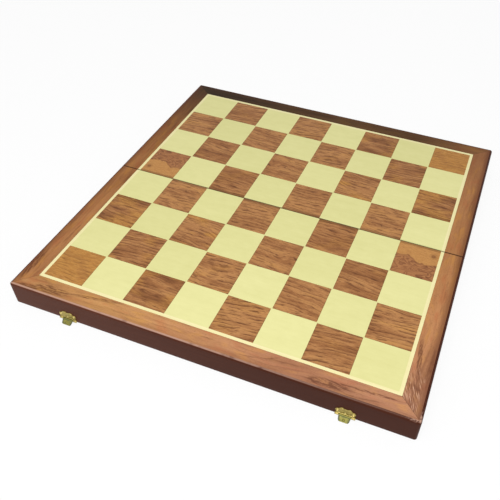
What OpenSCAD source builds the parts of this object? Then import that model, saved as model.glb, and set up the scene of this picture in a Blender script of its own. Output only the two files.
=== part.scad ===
// Folding chess box with a hinged lid, opened flat as a playing board.
// Two shallow wooden halves meet at a seam along X and turn about two butt hinges under it.
// The near half is the lid and carries two hasps. The far half is the base and carries the catches.
// +Z is up, the playing surface faces up and the open rims face down.
// The origin is under the middle of the seam, on the surface that the hinge barrels rest on.

/* [Playing surface] */
// Side of one square of the board
square = 43.6; // [36:0.1:60]
// Extra depth of the row beside the seam
seam_row_extra = 2.2; // [0:0.1:4]
// Light line left on each side of a brown square
square_inset = 0.4; // [0.2:0.05:1]
// Width of the light stringing around the squares
stringing_w = 3.2; // [2:0.1:8]
// How far the stringing laps over the outer squares
stringing_lap = 1.5; // [0:0.1:4]
// Width of the border veneer along the near and far edges
border_w = 16.5; // [8:0.1:30]
// Width of the border veneer at the left and right
side_border_w = 17.9; // [8:0.1:30]
// Thickness of every veneer
veneer_t = 0.6; // [0.4:0.1:1.2]
// Distance of the veneers from the seam face of their half
veneer_seam_back = 0.2; // [0.1:0.05:0.5]

/* [Case] */
// Height of one half, from its rim to the playing surface
case_h = 26.5; // [22:0.5:60]
// Thickness of the rails
rail_t = 10; // [10:0.5:15]
// Width of the rounded dark lip around the border, which is also its radius
lip_w = 2.4; // [1.5:0.1:4]
// Radius of the outer upright corners
corner_r = 2.5; // [1:0.1:4]
// Radius of the outer edge of the rims
rim_r = 0.8; // [0.3:0.1:1.5]
// Thickness of the panel under the veneers
panel_t = 3; // [2:0.5:6]
// Width of the rail's rabbet that the panel rests on
rabbet_w = 4; // [2:0.5:5]
// Gap around the panel in its rabbet
panel_fit = 0.1; // [0.05:0.05:0.3]
// Gap between the two halves at the seam
seam_gap = 0.3; // [0.2:0.05:0.6]
// Gap between the rims when the box is closed
closed_gap = 0.2; // [0.1:0.05:0.6]

/* [Felt lining] */
// Thickness of the felt
felt_t = 0.8; // [0.5:0.1:2]
// Height of bare wood between the rim and the wall felt
felt_rim_back = 1.5; // [0.5:0.1:5]

/* [Butt hinges] */
// Distance of each hinge's middle from the end of the box
hinge_inset = 81.4; // [50:1:130]
// Length of a hinge along the seam
hinge_len = 32; // [24:1:50]
// Width of one leaf, from the hinge axis
leaf_w = 8.5; // [7.5:0.1:9]
// Thickness of a leaf
leaf_t = 0.9; // [0.7:0.1:1.1]
// Outer radius of the knuckles
knuckle_r = 1.25; // [1.1:0.05:1.6]
// Radius of the hinge pin
hinge_pin_r = 0.6; // [0.4:0.05:0.7]
// Gap between the ends of neighbouring knuckles
knuckle_gap = 0.15; // [0.1:0.05:0.4]
// Gap between the knuckles and the notch in the rails
barrel_clear = 0.2; // [0.15:0.05:0.4]
// Distance of each screw from the middle of its hinge
screw_x = 9; // [6:0.5:9.5]
// Radius of a screw's shank
screw_r = 0.9; // [0.6:0.1:1.2]
// Radius of a screw's countersunk head
screw_head_r = 1.9; // [1.5:0.1:2.2]
// Length of a screw
screw_len = 8; // [5:0.5:12]
// Width of the slot in a screw's head
screw_slot_w = 0.5; // [0.3:0.1:0.8]

/* [Latches] */
// Distance of each latch's middle from the end of the box
latch_inset = 60.4; // [30:1:100]
// Width of the latch plate over its knuckles
latch_w = 18; // [17:0.5:24]
// Height of the latch plate's straight body
plate_body_h = 4; // [3:0.1:7]
// Radius of the shoulders of the latch plate and of the nail lobes of the catch plate
shoulder_r = 2; // [1.6:0.1:2.4]
// Radius of the two lobes at the top of the latch plate
lobe_r = 2.9; // [2.2:0.1:3.4]
// Depth of the dip between the two top lobes
lobe_dip = 0.9; // [0.5:0.1:2]
// Radius of the waist cut in each side of the latch plate
waist_r = 1.1; // [0.8:0.1:1.4]
// Radius of the raised wire of the scrolls
scroll_r = 0.3; // [0.2:0.05:0.4]
// Width of the catch plate
catch_w = 13.2; // [11:0.2:18]
// Thickness of the latch plate and of the catch plate
plate_t = 0.7; // [0.5:0.1:0.9]
// Gap between the hasp's turning knuckle and the case
knuckle_case_gap = 0.1; // [0.05:0.05:0.3]
// Gap between the hasp's turning knuckle and the plate above it
knuckle_plate_gap = 0.45; // [0.3:0.05:0.8]
// Height of the hasp's pivot over the rim
pivot_h = 1.6; // [1.4:0.1:2.5]
// Outer radius of the latch knuckles
latch_knuckle_r = 0.9; // [0.8:0.05:1.1]
// Radius of the hasp pin
hasp_pin_r = 0.4; // [0.3:0.05:0.5]
// Width of the hasp
hasp_w = 11; // [8:0.5:12]
// Thickness of the hasp's sheet
hasp_t = 0.6; // [0.4:0.05:0.7]
// Radius of the hasp's tip corners
hasp_tip_r = 1.8; // [1:0.1:3]
// How much narrower the hasp's tip is at each side than its knuckle
hasp_taper = 0.6; // [0.2:0.1:1]
// Radius of the rolled bead along the hasp's tip
hasp_bead_r = 0.4; // [0.3:0.05:0.5]
// Flat metal left between the hasp's raised cup and its tip
hasp_land = 0.8; // [0.6:0.1:2]
// Thickness of the cup's wall
cup_t = 0.35; // [0.3:0.05:0.5]
// Height of the catch stud over the rim of its half
stud_h = 1.6; // [1.4:0.1:3]
// Radius of the stud's neck
stud_r = 0.45; // [0.35:0.05:0.5]
// Radius of the stud's round head
stud_head_r = 0.6; // [0.55:0.05:0.8]
// Gap around the stud's head in the hasp's cup
stud_fit = 0.25; // [0.2:0.05:0.4]
// Radius of the nail heads
nail_head_r = 0.9; // [0.7:0.05:1.1]
// Radius of the nail shanks
nail_r = 0.4; // [0.3:0.05:0.5]
// Depth of the nails in the wood
nail_len = 6; // [3:0.5:8]

/* [Running fits] */
// Radial gap between a turning knuckle and its pin
pin_fit = 0.05; // [0.02:0.01:0.1]
// Least height of the resting hasps over the table
table_gap = 0.1; // [0.05:0.05:0.5]
// Gap between a hinge leaf and the edges of its mortise
mortise_fit = 0.1; // [0.05:0.05:0.3]

/* [Hidden] */
$fn = 64;
columns = 8;
rows = 4;
// Cutters reach this far past the faces they cut
past = 1;

// Half the width and the full depth of one half's field of squares, inside the stringing
field_x = columns / 2 * square - stringing_lap;
field_y = rows * square + seam_row_extra - stringing_lap;
// Outer edges of the stringing and of the border
string_x = field_x + stringing_w;
string_y = field_y + stringing_w;
border_x = string_x + side_border_w;
border_y = string_y + border_w;
// Half the width of the box, and the depth of one half from the middle of the seam
half_w = border_x + lip_w;
half_d = border_y + lip_w;
// Middles of the hinges and of the latches, from the middle of the box
hinge_x = half_w - hinge_inset;
latch_x = half_w - latch_inset;

// Levels, upwards from the table
axis_z = knuckle_r;
rim_z = axis_z + closed_gap / 2;
top_z = rim_z + case_h;
veneer_z = top_z - veneer_t;
panel_z = veneer_z - panel_t;
felt_z = panel_z - felt_t;

// Faces at the seam
seam_y = seam_gap / 2;
veneer_seam_y = seam_y + veneer_seam_back;

// Hinge: each barrel has three equal knuckles, the middle one on the base's leaf
knuckle_len = hinge_len / 3;
screw_y = (knuckle_r + leaf_w) / 2;

// Latch: the pivot stands out from the case by the knuckle and a small gap
pivot_out = latch_knuckle_r + knuckle_case_gap;
pivot_z = rim_z + pivot_h;
// The cup is pressed outward in the hasp's sheet, and the stud's head fits in its hollow
hollow_r = stud_head_r + stud_fit;
cup_r = hollow_r + cup_t;
cup_drop = pivot_h + closed_gap + stud_h;
hasp_len = cup_drop + cup_r + hasp_land;
// The sheet's outer face lies just inside the knuckle, so that they merge
sheet_out = 0.96 * latch_knuckle_r;
sheet_mid = sheet_out - hasp_t / 2;
bead_drop = hasp_len - hasp_bead_r;
// Angle of the resting hasp below level: its bead lies over the table by the table gap
hasp_droop = asin((pivot_z - hasp_bead_r - table_gap) / norm([bead_drop, sheet_mid]))
    + atan2(sheet_mid, bead_drop);
// The plate starts this high over the rim, above the turning hasp
plate_low = pivot_h + latch_knuckle_r + knuckle_plate_gap;
end_knuckle_x = hasp_w / 2 + knuckle_gap;
stud_reach = pivot_out + sheet_out - hasp_t;

// Turns the lid's half round to the place of the base's half
module turned() {
    rotate([0, 0, 180]) children();
}

// Straight box between two corners
module block(low, high) {
    translate(low) cube(high - low);
}

// Cylinder along X between two places
module rod(x0, x1, r) {
    translate([x0, 0, 0]) rotate([0, 90, 0]) cylinder(r = r, h = x1 - x0);
}

// Waste outside a round edge along X: the edge is at the origin and the wood at +Y and -Z
module edge_waste(length, r) {
    difference() {
        block([-past, -past, -r], [length + past, r, past]);
        translate([0, r, -r]) rod(-2 * past, length + 2 * past, r);
    }
}

// Waste outside a round upright corner: the corner is at the origin and the wood at +X and +Y
module corner_waste(height, r) {
    difference() {
        block([-past, -past, -past], [r, r, height + past]);
        translate([r, r, -2 * past]) cylinder(r = r, h = height + 4 * past);
    }
}

// Rail along X from the origin, its outer face at y = 0, with its lip and rim edge rounded
module rail_stock(length) {
    difference() {
        cube([length, rail_t, case_h]);
        translate([0, 0, case_h]) edge_waste(length, lip_w);
        mirror([0, 0, 1]) edge_waste(length, rim_r);
    }
}

// Upright prism over a plan outline, taller than the case
module plan_prism(outline) {
    translate([0, 0, -past]) linear_extrude(top_z + 2 * past) polygon(outline);
}

// Room for all the veneers of a half
module veneer_space() {
    block([-border_x, -border_y, veneer_z], [border_x, past, top_z + past]);
}

// The panel's box, grown by a gap on its edges
module panel_box(gap) {
    x = half_w - rail_t + rabbet_w + gap;
    outer_y = half_d - rail_t + rabbet_w + gap;
    inner_y = seam_y + rail_t - rabbet_w - gap;
    block([-x, -outer_y, panel_z], [x, -inner_y, veneer_z]);
}

module panel() {
    color("burlywood") panel_box(0);
}

// Rail at the outer edge of a half, mitred at both ends
module outer_rail() {
    color([0.30, 0.17, 0.13]) difference() {
        intersection() {
            translate([-half_w, -half_d, rim_z]) rail_stock(2 * half_w);
            plan_prism([
                [-half_w, -half_d],
                [half_w, -half_d],
                [half_w - rail_t, rail_t - half_d],
                [rail_t - half_w, rail_t - half_d]
            ]);
        }
        translate([-half_w, -half_d, rim_z]) corner_waste(case_h, corner_r);
        mirror([1, 0, 0]) translate([-half_w, -half_d, rim_z]) corner_waste(case_h, corner_r);
        veneer_space();
        panel_box(panel_fit);
        children();
    }
}

// Rail at the left edge of a half, mitred at the outer corner and square at the seam
module left_side_rail() {
    color([0.30, 0.17, 0.13]) difference() {
        intersection() {
            translate([-half_w, -seam_y, rim_z]) rotate([0, 0, -90]) rail_stock(half_d - seam_y);
            plan_prism([
                [-half_w, -half_d],
                [rail_t - half_w, rail_t - half_d],
                [rail_t - half_w, -seam_y],
                [-half_w, -seam_y]
            ]);
        }
        translate([-half_w, -half_d, rim_z]) corner_waste(case_h, corner_r);
        veneer_space();
        panel_box(panel_fit);
    }
}

module right_side_rail() {
    mirror([1, 0, 0]) left_side_rail();
}

// Rail along the seam, with a mortise and a barrel notch for each hinge
module hinge_rail() {
    color([0.30, 0.17, 0.13]) difference() {
        block([rail_t - half_w, -seam_y - rail_t, rim_z], [half_w - rail_t, -seam_y, veneer_z]);
        panel_box(panel_fit);
        for (side = [-1, 1]) {
            translate([side * hinge_x, 0, 0]) hinge_waste();
        }
        hinge_screws();
    }
}

// Light sheet of the field, with a window for each brown square
module light_field() {
    color([0.88, 0.85, 0.60]) difference() {
        block([-field_x, -field_y, veneer_z], [field_x, -veneer_seam_y, top_z]);
        squares(past);
    }
}

module brown_squares() {
    color([0.58, 0.36, 0.22]) squares(0);
}

// Brown squares of a half. Those at the field's edge reach it, and past it by the reach
module squares(reach) {
    for (i = [0 : columns - 1], j = [0 : rows - 1]) {
        if ((i + j) % 2 == 0) {
            left = i == 0 ? -field_x - reach : (i - columns / 2) * square + square_inset;
            right = i == columns - 1 ? field_x + reach : (i + 1 - columns / 2) * square - square_inset;
            near = j == 0 ? -field_y - reach : -seam_row_extra - (rows - j) * square + square_inset;
            far = j == rows - 1 ? -veneer_seam_y + reach
                : -seam_row_extra - (rows - 1 - j) * square - square_inset;
            block([left, near, veneer_z - reach], [right, far, top_z + reach]);
        }
    }
}

// Veneer strip along the outer edge of a half, mitred at both ends
module outer_strip(in_x, in_y, out_x, out_y) {
    translate([0, 0, veneer_z]) linear_extrude(veneer_t) polygon([
        [-out_x, -out_y],
        [out_x, -out_y],
        [in_x, -in_y],
        [-in_x, -in_y]
    ]);
}

// Veneer strip along the left edge of a half, mitred at the outer corner
module left_strip(in_x, in_y, out_x, out_y) {
    translate([0, 0, veneer_z]) linear_extrude(veneer_t) polygon([
        [-out_x, -out_y],
        [-in_x, -in_y],
        [-in_x, -veneer_seam_y],
        [-out_x, -veneer_seam_y]
    ]);
}

module stringing() {
    color([0.97, 0.95, 0.72]) {
        outer_strip(field_x, field_y, string_x, string_y);
        left_strip(field_x, field_y, string_x, string_y);
        mirror([1, 0, 0]) left_strip(field_x, field_y, string_x, string_y);
    }
}

module outer_border() {
    color([0.72, 0.44, 0.24]) outer_strip(string_x, string_y, border_x, border_y);
}

module left_border() {
    color([0.66, 0.38, 0.22]) left_strip(string_x, string_y, border_x, border_y);
}

module right_border() {
    mirror([1, 0, 0]) left_border();
}

// Felt under the panel, inside the rails
module floor_felt() {
    x = half_w - rail_t;
    color([0.09, 0.28, 0.17]) block([-x, rail_t - half_d, felt_z], [x, -seam_y - rail_t, panel_z]);
}

// Felt strips on the inner faces of the four rails
module wall_felt() {
    x = half_w - rail_t;
    outer_y = half_d - rail_t;
    inner_y = seam_y + rail_t;
    low_z = rim_z + felt_rim_back;
    color([0.09, 0.28, 0.17]) {
        block([-x, -outer_y, low_z], [x, felt_t - outer_y, felt_z]);
        block([-x, -inner_y - felt_t, low_z], [x, -inner_y, felt_z]);
        block([-x, felt_t - outer_y, low_z], [felt_t - x, -inner_y - felt_t, felt_z]);
        block([x - felt_t, felt_t - outer_y, low_z], [x, -inner_y - felt_t, felt_z]);
    }
}

// What a hinge takes out of a hinge rail: a mortise for the leaf and a notch for the barrel
module hinge_waste() {
    x = hinge_len / 2 + mortise_fit;
    block([-x, -leaf_w - mortise_fit, rim_z - past], [x, past, rim_z + leaf_t]);
    translate([0, 0, axis_z]) rod(-x, x, knuckle_r + barrel_clear);
}

module outer_knuckles(r, gap) {
    for (side = [0, 1]) {
        mirror([side, 0, 0]) rod(knuckle_len / 2 + gap, hinge_len / 2, r);
    }
}

module middle_knuckle(r, gap) {
    rod(-knuckle_len / 2 + gap, knuckle_len / 2 - gap, r);
}

// Flat of a leaf, flush with the rim and joined to the barrel
module leaf_flat() {
    block([-hinge_len / 2, -leaf_w, rim_z], [hinge_len / 2, 0, rim_z + leaf_t]);
}

// Leaf of the lid: its two outer knuckles grip the pin
module lid_leaf(side) {
    color("goldenrod") difference() {
        translate([side * hinge_x, 0, 0]) difference() {
            union() {
                leaf_flat();
                translate([0, 0, axis_z]) outer_knuckles(knuckle_r, knuckle_gap / 2);
            }
            translate([0, 0, axis_z]) middle_knuckle(knuckle_r + barrel_clear, -knuckle_gap / 2);
            translate([0, 0, axis_z]) rod(-hinge_len, hinge_len, hinge_pin_r);
        }
        hinge_screws();
    }
}

// Leaf of the base: its middle knuckle turns on the pin
module base_leaf(side) {
    color("goldenrod") turned() difference() {
        translate([-side * hinge_x, 0, 0]) difference() {
            union() {
                leaf_flat();
                translate([0, 0, axis_z]) middle_knuckle(knuckle_r, knuckle_gap / 2);
            }
            for (end = [0, 1]) {
                translate([0, 0, axis_z]) mirror([end, 0, 0])
                    rod(knuckle_len / 2 - knuckle_gap / 2, hinge_len, knuckle_r + barrel_clear);
            }
            translate([0, 0, axis_z]) rod(-hinge_len, hinge_len, hinge_pin_r + pin_fit);
        }
        hinge_screws();
    }
}

module hinge_pin(side) {
    color("darkgoldenrod") translate([side * hinge_x, 0, axis_z])
        rod(-hinge_len / 2, hinge_len / 2, hinge_pin_r);
}

// Countersunk screw pointing up, its head flush with z = 0
module screw() {
    head_h = screw_head_r - screw_r;
    point_h = 2 * screw_r;
    cylinder(r1 = screw_head_r, r2 = screw_r, h = head_h);
    cylinder(r = screw_r, h = screw_len - point_h);
    translate([0, 0, screw_len - point_h]) cylinder(r1 = screw_r, r2 = screw_r / 6, h = point_h);
}

// The screws of the leaves on one half
module hinge_screws() {
    for (side = [-1, 1], end = [-1, 1]) {
        translate([side * hinge_x + end * screw_x, -screw_y, rim_z]) screw();
    }
}

// The same screws with the slot cut in each head
module slotted_hinge_screws() {
    color("gold") difference() {
        hinge_screws();
        for (side = [-1, 1], end = [-1, 1]) {
            translate([side * hinge_x + end * screw_x, -screw_y, rim_z])
                block([-screw_head_r, -screw_slot_w / 2, -past],
                    [screw_head_r, screw_slot_w / 2, 0.8 * screw_slot_w]);
        }
    }
}

// Places a latch or a catch: x across, y = 0 on the case's outer face, z = 0 at the rim
module at_latch(side) {
    translate([side * latch_x, -half_d, rim_z]) children();
}

// Sheet of the plate's thickness that stands on the case, over an outline drawn upright
module sheet(thickness) {
    rotate([90, 0, 0]) linear_extrude(thickness) children();
}

// Raised ring on a plate
module raised_ring(x, z, ring_r) {
    translate([x, -plate_t, z]) rotate([90, 0, 0])
        rotate_extrude() translate([ring_r, 0]) circle(r = scroll_r, $fn = 24);
}

// Places of the three nails of a latch plate: one in each shoulder and one in the middle
shoulder_x = latch_w / 2 - shoulder_r;
shoulder_z = plate_low + plate_body_h;
middle_nail_z = plate_low + plate_body_h / 2;
latch_nail_places = [[-shoulder_x, shoulder_z], [shoulder_x, shoulder_z], [0, middle_nail_z]];

// Middles of the two top lobes, whose raised rings just clear each other
lobe_x = lobe_r + scroll_r;
lobe_z = shoulder_z + lobe_r / 2;

// Scrolled outline of the latch plate, without its knuckles
module latch_outline() {
    body_x = latch_w / 2 - 0.4 * shoulder_r;
    difference() {
        union() {
            translate([-body_x, plate_low]) square([2 * body_x, plate_body_h]);
            for (end = [-1, 1]) {
                translate([end * shoulder_x, shoulder_z]) circle(r = shoulder_r);
                translate([end * lobe_x, lobe_z]) circle(r = lobe_r);
            }
            translate([-lobe_x, shoulder_z - scroll_r])
                square([2 * lobe_x, lobe_z + lobe_r - lobe_dip - shoulder_z + scroll_r]);
        }
        for (end = [-1, 1]) {
            translate([end * latch_w / 2, plate_low + waist_r]) circle(r = waist_r);
        }
    }
}

// Latch plate with its two end knuckles, raised scrolls and a bead above the hasp
module latch_plate(side) {
    bead_z = plate_low + 1.5 * scroll_r;
    color([0.78, 0.68, 0.30]) at_latch(side) difference() {
        union() {
            sheet(plate_t) latch_outline();
            for (end = [0, 1]) {
                mirror([end, 0, 0]) {
                    translate([0, -pivot_out, pivot_h]) rod(end_knuckle_x, latch_w / 2, latch_knuckle_r);
                    block([end_knuckle_x, -plate_t, pivot_h], [latch_w / 2, 0, bead_z]);
                }
                mirror([end, 0, 0]) raised_ring(shoulder_x, shoulder_z, shoulder_r - 2 * scroll_r);
                mirror([end, 0, 0]) raised_ring(lobe_x, lobe_z, lobe_r - 4 * scroll_r);
            }
            translate([0, -plate_t, bead_z]) rod(scroll_r - latch_w / 2, latch_w / 2 - scroll_r, scroll_r);
        }
        translate([0, -pivot_out, pivot_h]) rod(-latch_w, latch_w, hasp_pin_r);
        nail_shanks(latch_nail_places);
    }
}

// Hasp hanging straight down from its pivot at the origin, its outer face at -Y
module hanging_hasp() {
    tip_x = hasp_w / 2 - hasp_taper - hasp_tip_r;
    difference() {
        union() {
            rod(-hasp_w / 2, hasp_w / 2, latch_knuckle_r);
            translate([0, hasp_t - sheet_out, 0]) sheet(hasp_t) hasp_outline();
            translate([0, -sheet_mid, -bead_drop]) rod(-tip_x, tip_x, hasp_bead_r);
            translate([0, hasp_t - sheet_out, -cup_drop]) difference() {
                sphere(r = cup_r);
                block([-2 * cup_r, 0, -2 * cup_r], [2 * cup_r, 2 * cup_r, 2 * cup_r]);
            }
        }
        rod(-hasp_w, hasp_w, hasp_pin_r + pin_fit);
        translate([0, hasp_t - sheet_out, -cup_drop]) sphere(r = hollow_r);
    }
}

// Outline of the hasp: straight sides that draw in towards two round corners
module hasp_outline() {
    side_x = hasp_w / 2;
    tip_x = side_x - hasp_taper - hasp_tip_r;
    tip_z = hasp_tip_r - hasp_len;
    // Each side line touches its corner's circle at this angle below level
    away = [side_x - tip_x, -tip_z];
    lean = acos(hasp_tip_r / norm(away)) - atan2(away[1], away[0]);
    touch = hasp_tip_r * [cos(lean), -sin(lean)];
    for (end = [0, 1]) {
        mirror([end, 0]) {
            polygon([[0, 0], [side_x, 0], [tip_x, tip_z] + touch, [tip_x, tip_z], [tip_x, -hasp_len],
                [0, -hasp_len]]);
            translate([tip_x, tip_z]) circle(r = hasp_tip_r);
        }
    }
}

// Hasp swung outward, its tip lying at the table
module hasp(side) {
    color([0.74, 0.64, 0.28]) at_latch(side) translate([0, -pivot_out, pivot_h])
        rotate([hasp_droop - 90, 0, 0]) hanging_hasp();
}

module hasp_pin(side) {
    color("darkgoldenrod") at_latch(side) translate([0, -pivot_out, pivot_h])
        rod(-latch_w / 2, latch_w / 2, hasp_pin_r);
}

// Nail shanks at given places on a plate, from its face into the wood
module nail_shanks(places) {
    for (place = places) {
        translate([place[0], -plate_t, place[1]]) rotate([-90, 0, 0])
            cylinder(r = nail_r, h = plate_t + nail_len);
    }
}

// Nails at given places: a low round head on the plate and a shank
module nails(places) {
    ball_r = 1.3 * nail_head_r;
    sink = sqrt(ball_r * ball_r - nail_head_r * nail_head_r);
    nail_shanks(places);
    for (place = places) {
        translate([place[0], -plate_t, place[1]]) intersection() {
            translate([0, sink, 0]) rotate([90, 0, 0]) sphere(r = ball_r);
            block([-ball_r, -ball_r, -ball_r], [ball_r, 0, ball_r]);
        }
    }
}

// Places of the two nails of a catch plate
catch_nail_x = catch_w / 2 - shoulder_r;
catch_nail_z = stud_h + plate_body_h;
catch_nail_places = [[-catch_nail_x, catch_nail_z], [catch_nail_x, catch_nail_z]];

// Outline of the catch plate around its stud, with a lobe at each nail and one between them
module catch_outline() {
    low_z = rim_r / 2;
    translate([-catch_w / 2, low_z]) square([catch_w, catch_nail_z - low_z]);
    for (place = catch_nail_places) {
        translate(place) circle(r = shoulder_r);
    }
    translate([0, catch_nail_z]) circle(r = lobe_r);
}

// Catch plate with the stud that the hasp's cup closes over
module catch_plate(side) {
    color([0.78, 0.68, 0.30]) turned() at_latch(-side) difference() {
        union() {
            sheet(plate_t) catch_outline();
            translate([0, 0, stud_h]) rotate([90, 0, 0]) cylinder(r = stud_r, h = stud_reach);
            translate([0, -stud_reach, stud_h]) sphere(r = stud_head_r);
        }
        nail_shanks(catch_nail_places);
    }
}

module latch_nail_holes() {
    for (side = [-1, 1]) {
        at_latch(side) nail_shanks(latch_nail_places);
    }
}

module catch_nail_holes() {
    for (side = [-1, 1]) {
        at_latch(side) nail_shanks(catch_nail_places);
    }
}

module latch_nails() {
    color("gold") for (side = [-1, 1]) {
        at_latch(side) nails(latch_nail_places);
    }
}

module catch_nails() {
    color("gold") turned() for (side = [-1, 1]) {
        at_latch(side) nails(catch_nail_places);
    }
}

// The lid, near half
panel();  // lid_panel
outer_rail() latch_nail_holes();  // lid_latch_rail
hinge_rail();  // lid_hinge_rail
left_side_rail();  // lid_left_rail
right_side_rail();  // lid_right_rail
light_field();  // lid_light_field
brown_squares();  // lid_brown_squares
stringing();  // lid_stringing
outer_border();  // lid_latch_border
left_border();  // lid_left_border
right_border();  // lid_right_border
floor_felt();  // lid_floor_felt
wall_felt();  // lid_wall_felt

// The base, far half
turned() panel();  // base_panel
turned() outer_rail() catch_nail_holes();  // base_catch_rail
turned() hinge_rail();  // base_hinge_rail
turned() right_side_rail();  // base_left_rail
turned() left_side_rail();  // base_right_rail
turned() light_field();  // base_light_field
turned() brown_squares();  // base_brown_squares
turned() stringing();  // base_stringing
turned() outer_border();  // base_catch_border
turned() right_border();  // base_left_border
turned() left_border();  // base_right_border
turned() floor_felt();  // base_floor_felt
turned() wall_felt();  // base_wall_felt

// The butt hinges
lid_leaf(-1);  // left_hinge_lid_leaf
base_leaf(-1);  // left_hinge_base_leaf
hinge_pin(-1);  // left_hinge_pin
lid_leaf(1);  // right_hinge_lid_leaf
base_leaf(1);  // right_hinge_base_leaf
hinge_pin(1);  // right_hinge_pin
slotted_hinge_screws();  // hinge_lid_screws
turned() slotted_hinge_screws();  // hinge_base_screws

// The latches and catches
latch_plate(-1);  // left_latch_plate
latch_plate(1);  // right_latch_plate
hasp(-1);  // left_hasp
hasp(1);  // right_hasp
hasp_pin(-1);  // left_hasp_pin
hasp_pin(1);  // right_hasp_pin
latch_nails();
catch_plate(-1);  // left_catch_plate
catch_plate(1);  // right_catch_plate
catch_nails();
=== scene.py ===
"""Looks of the folding chess box, opened flat as a playing board.

The packed CAD model is the fixed frame. Its flat veneers, felts, hinges and small fasteners keep
their meshes and are given finishes here. The moulded rails, the stamped latch and catch plates,
the hasps and their pins are new surfaces worked out with numpy in the places of their CAD nodes.

Sizes are in millimetres in the classes, and become metres where a mesh is made.
"""

from __future__ import annotations

import logging
import math
from abc import ABC, abstractmethod
from dataclasses import dataclass, field
from enum import Enum
from typing import Any, Callable, Mapping, Sequence, Union

import bmesh
import bpy
import numpy as np
from mathutils import Matrix, Vector


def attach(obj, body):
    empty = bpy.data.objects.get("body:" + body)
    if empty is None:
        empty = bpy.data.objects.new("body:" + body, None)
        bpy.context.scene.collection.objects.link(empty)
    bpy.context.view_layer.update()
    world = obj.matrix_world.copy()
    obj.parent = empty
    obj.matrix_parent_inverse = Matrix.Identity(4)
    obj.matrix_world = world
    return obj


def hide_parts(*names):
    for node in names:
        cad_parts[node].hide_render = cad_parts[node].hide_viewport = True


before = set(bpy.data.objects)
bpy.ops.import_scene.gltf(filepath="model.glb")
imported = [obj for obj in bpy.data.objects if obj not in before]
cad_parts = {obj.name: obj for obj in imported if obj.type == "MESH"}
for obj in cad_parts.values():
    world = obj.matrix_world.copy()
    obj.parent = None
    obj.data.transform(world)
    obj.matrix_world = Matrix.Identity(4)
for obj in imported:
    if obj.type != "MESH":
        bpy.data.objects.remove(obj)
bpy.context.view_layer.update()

log = logging.getLogger("chess_box")

MM = 0.001
Colour = tuple[float, float, float, float]
WHITE: Colour = (1.0, 1.0, 1.0, 1.0)


def rgb(red: float, green: float, blue: float) -> Colour:
    """Turns display values into Blender's linear values.

    Args:
        red: Red, 0 to 255.
        green: Green, 0 to 255.
        blue: Blue, 0 to 255.

    Returns:
        The linear colour with full alpha.
    """

    def linear(value: float) -> float:
        """Undoes the display curve for one channel."""
        share = value / 255.0
        return share / 12.92 if share <= 0.04045 else ((share + 0.055) / 1.055) ** 2.4

    return linear(red), linear(green), linear(blue), 1.0


def cad(name: str) -> bpy.types.Object:
    """The CAD piece of a node."""
    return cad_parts[name]


# ---------------------------------------------------------------- sizes


@dataclass(frozen=True)
class BoxSizes:
    """The box's sizes in millimetres, the same as the CAD model's."""

    square: float = 43.6
    seam_row_extra: float = 2.2
    square_inset: float = 0.4
    stringing_w: float = 3.2
    stringing_lap: float = 1.5
    border_w: float = 16.5
    side_border_w: float = 17.9
    veneer_t: float = 0.6
    case_h: float = 26.5
    rail_t: float = 10.0
    lip_w: float = 2.4
    corner_r: float = 2.5
    rim_r: float = 0.8
    panel_t: float = 3.0
    rabbet_w: float = 4.0
    panel_fit: float = 0.1
    seam_gap: float = 0.3
    closed_gap: float = 0.2
    knuckle_r: float = 1.25
    latch_inset: float = 60.4

    @property
    def string_x(self) -> float:
        """Outer edge of the stringing at the sides."""
        return 4 * self.square - self.stringing_lap + self.stringing_w

    @property
    def string_y(self) -> float:
        """Outer edge of the stringing at the near and far edges."""
        return self.string_x + self.seam_row_extra

    @property
    def half_w(self) -> float:
        """Half the width of the box."""
        return self.string_x + self.side_border_w + self.lip_w

    @property
    def half_d(self) -> float:
        """Depth of one half from the middle of the seam."""
        return self.string_y + self.border_w + self.lip_w

    @property
    def rim_z(self) -> float:
        """Level of the open rims."""
        return self.knuckle_r + self.closed_gap / 2

    @property
    def top_z(self) -> float:
        """Level of the playing surface."""
        return self.rim_z + self.case_h

    @property
    def latch_x(self) -> float:
        """Distance of each latch's middle from the middle of the box."""
        return self.half_w - self.latch_inset


BOX = BoxSizes()


# ---------------------------------------------------------------- shader writing

Number = Union[float, "Signal"]


def operator(operation: str, wording: str, swapped: bool = False) -> Callable[..., "Signal"]:
    """Makes a method of Signal that adds one Math node.

    Args:
        operation: The node's operation.
        wording: The method's docstring.
        swapped: Whether the signal is the last term, not the first.

    Returns:
        The method.
    """

    def method(self: "Signal", *others: Number) -> "Signal":
        """Adds the node and gives its result."""
        terms = (*others, self) if swapped else (self, *others)
        return self.pen.math(operation, *terms)

    method.__doc__ = wording
    return method


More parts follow.
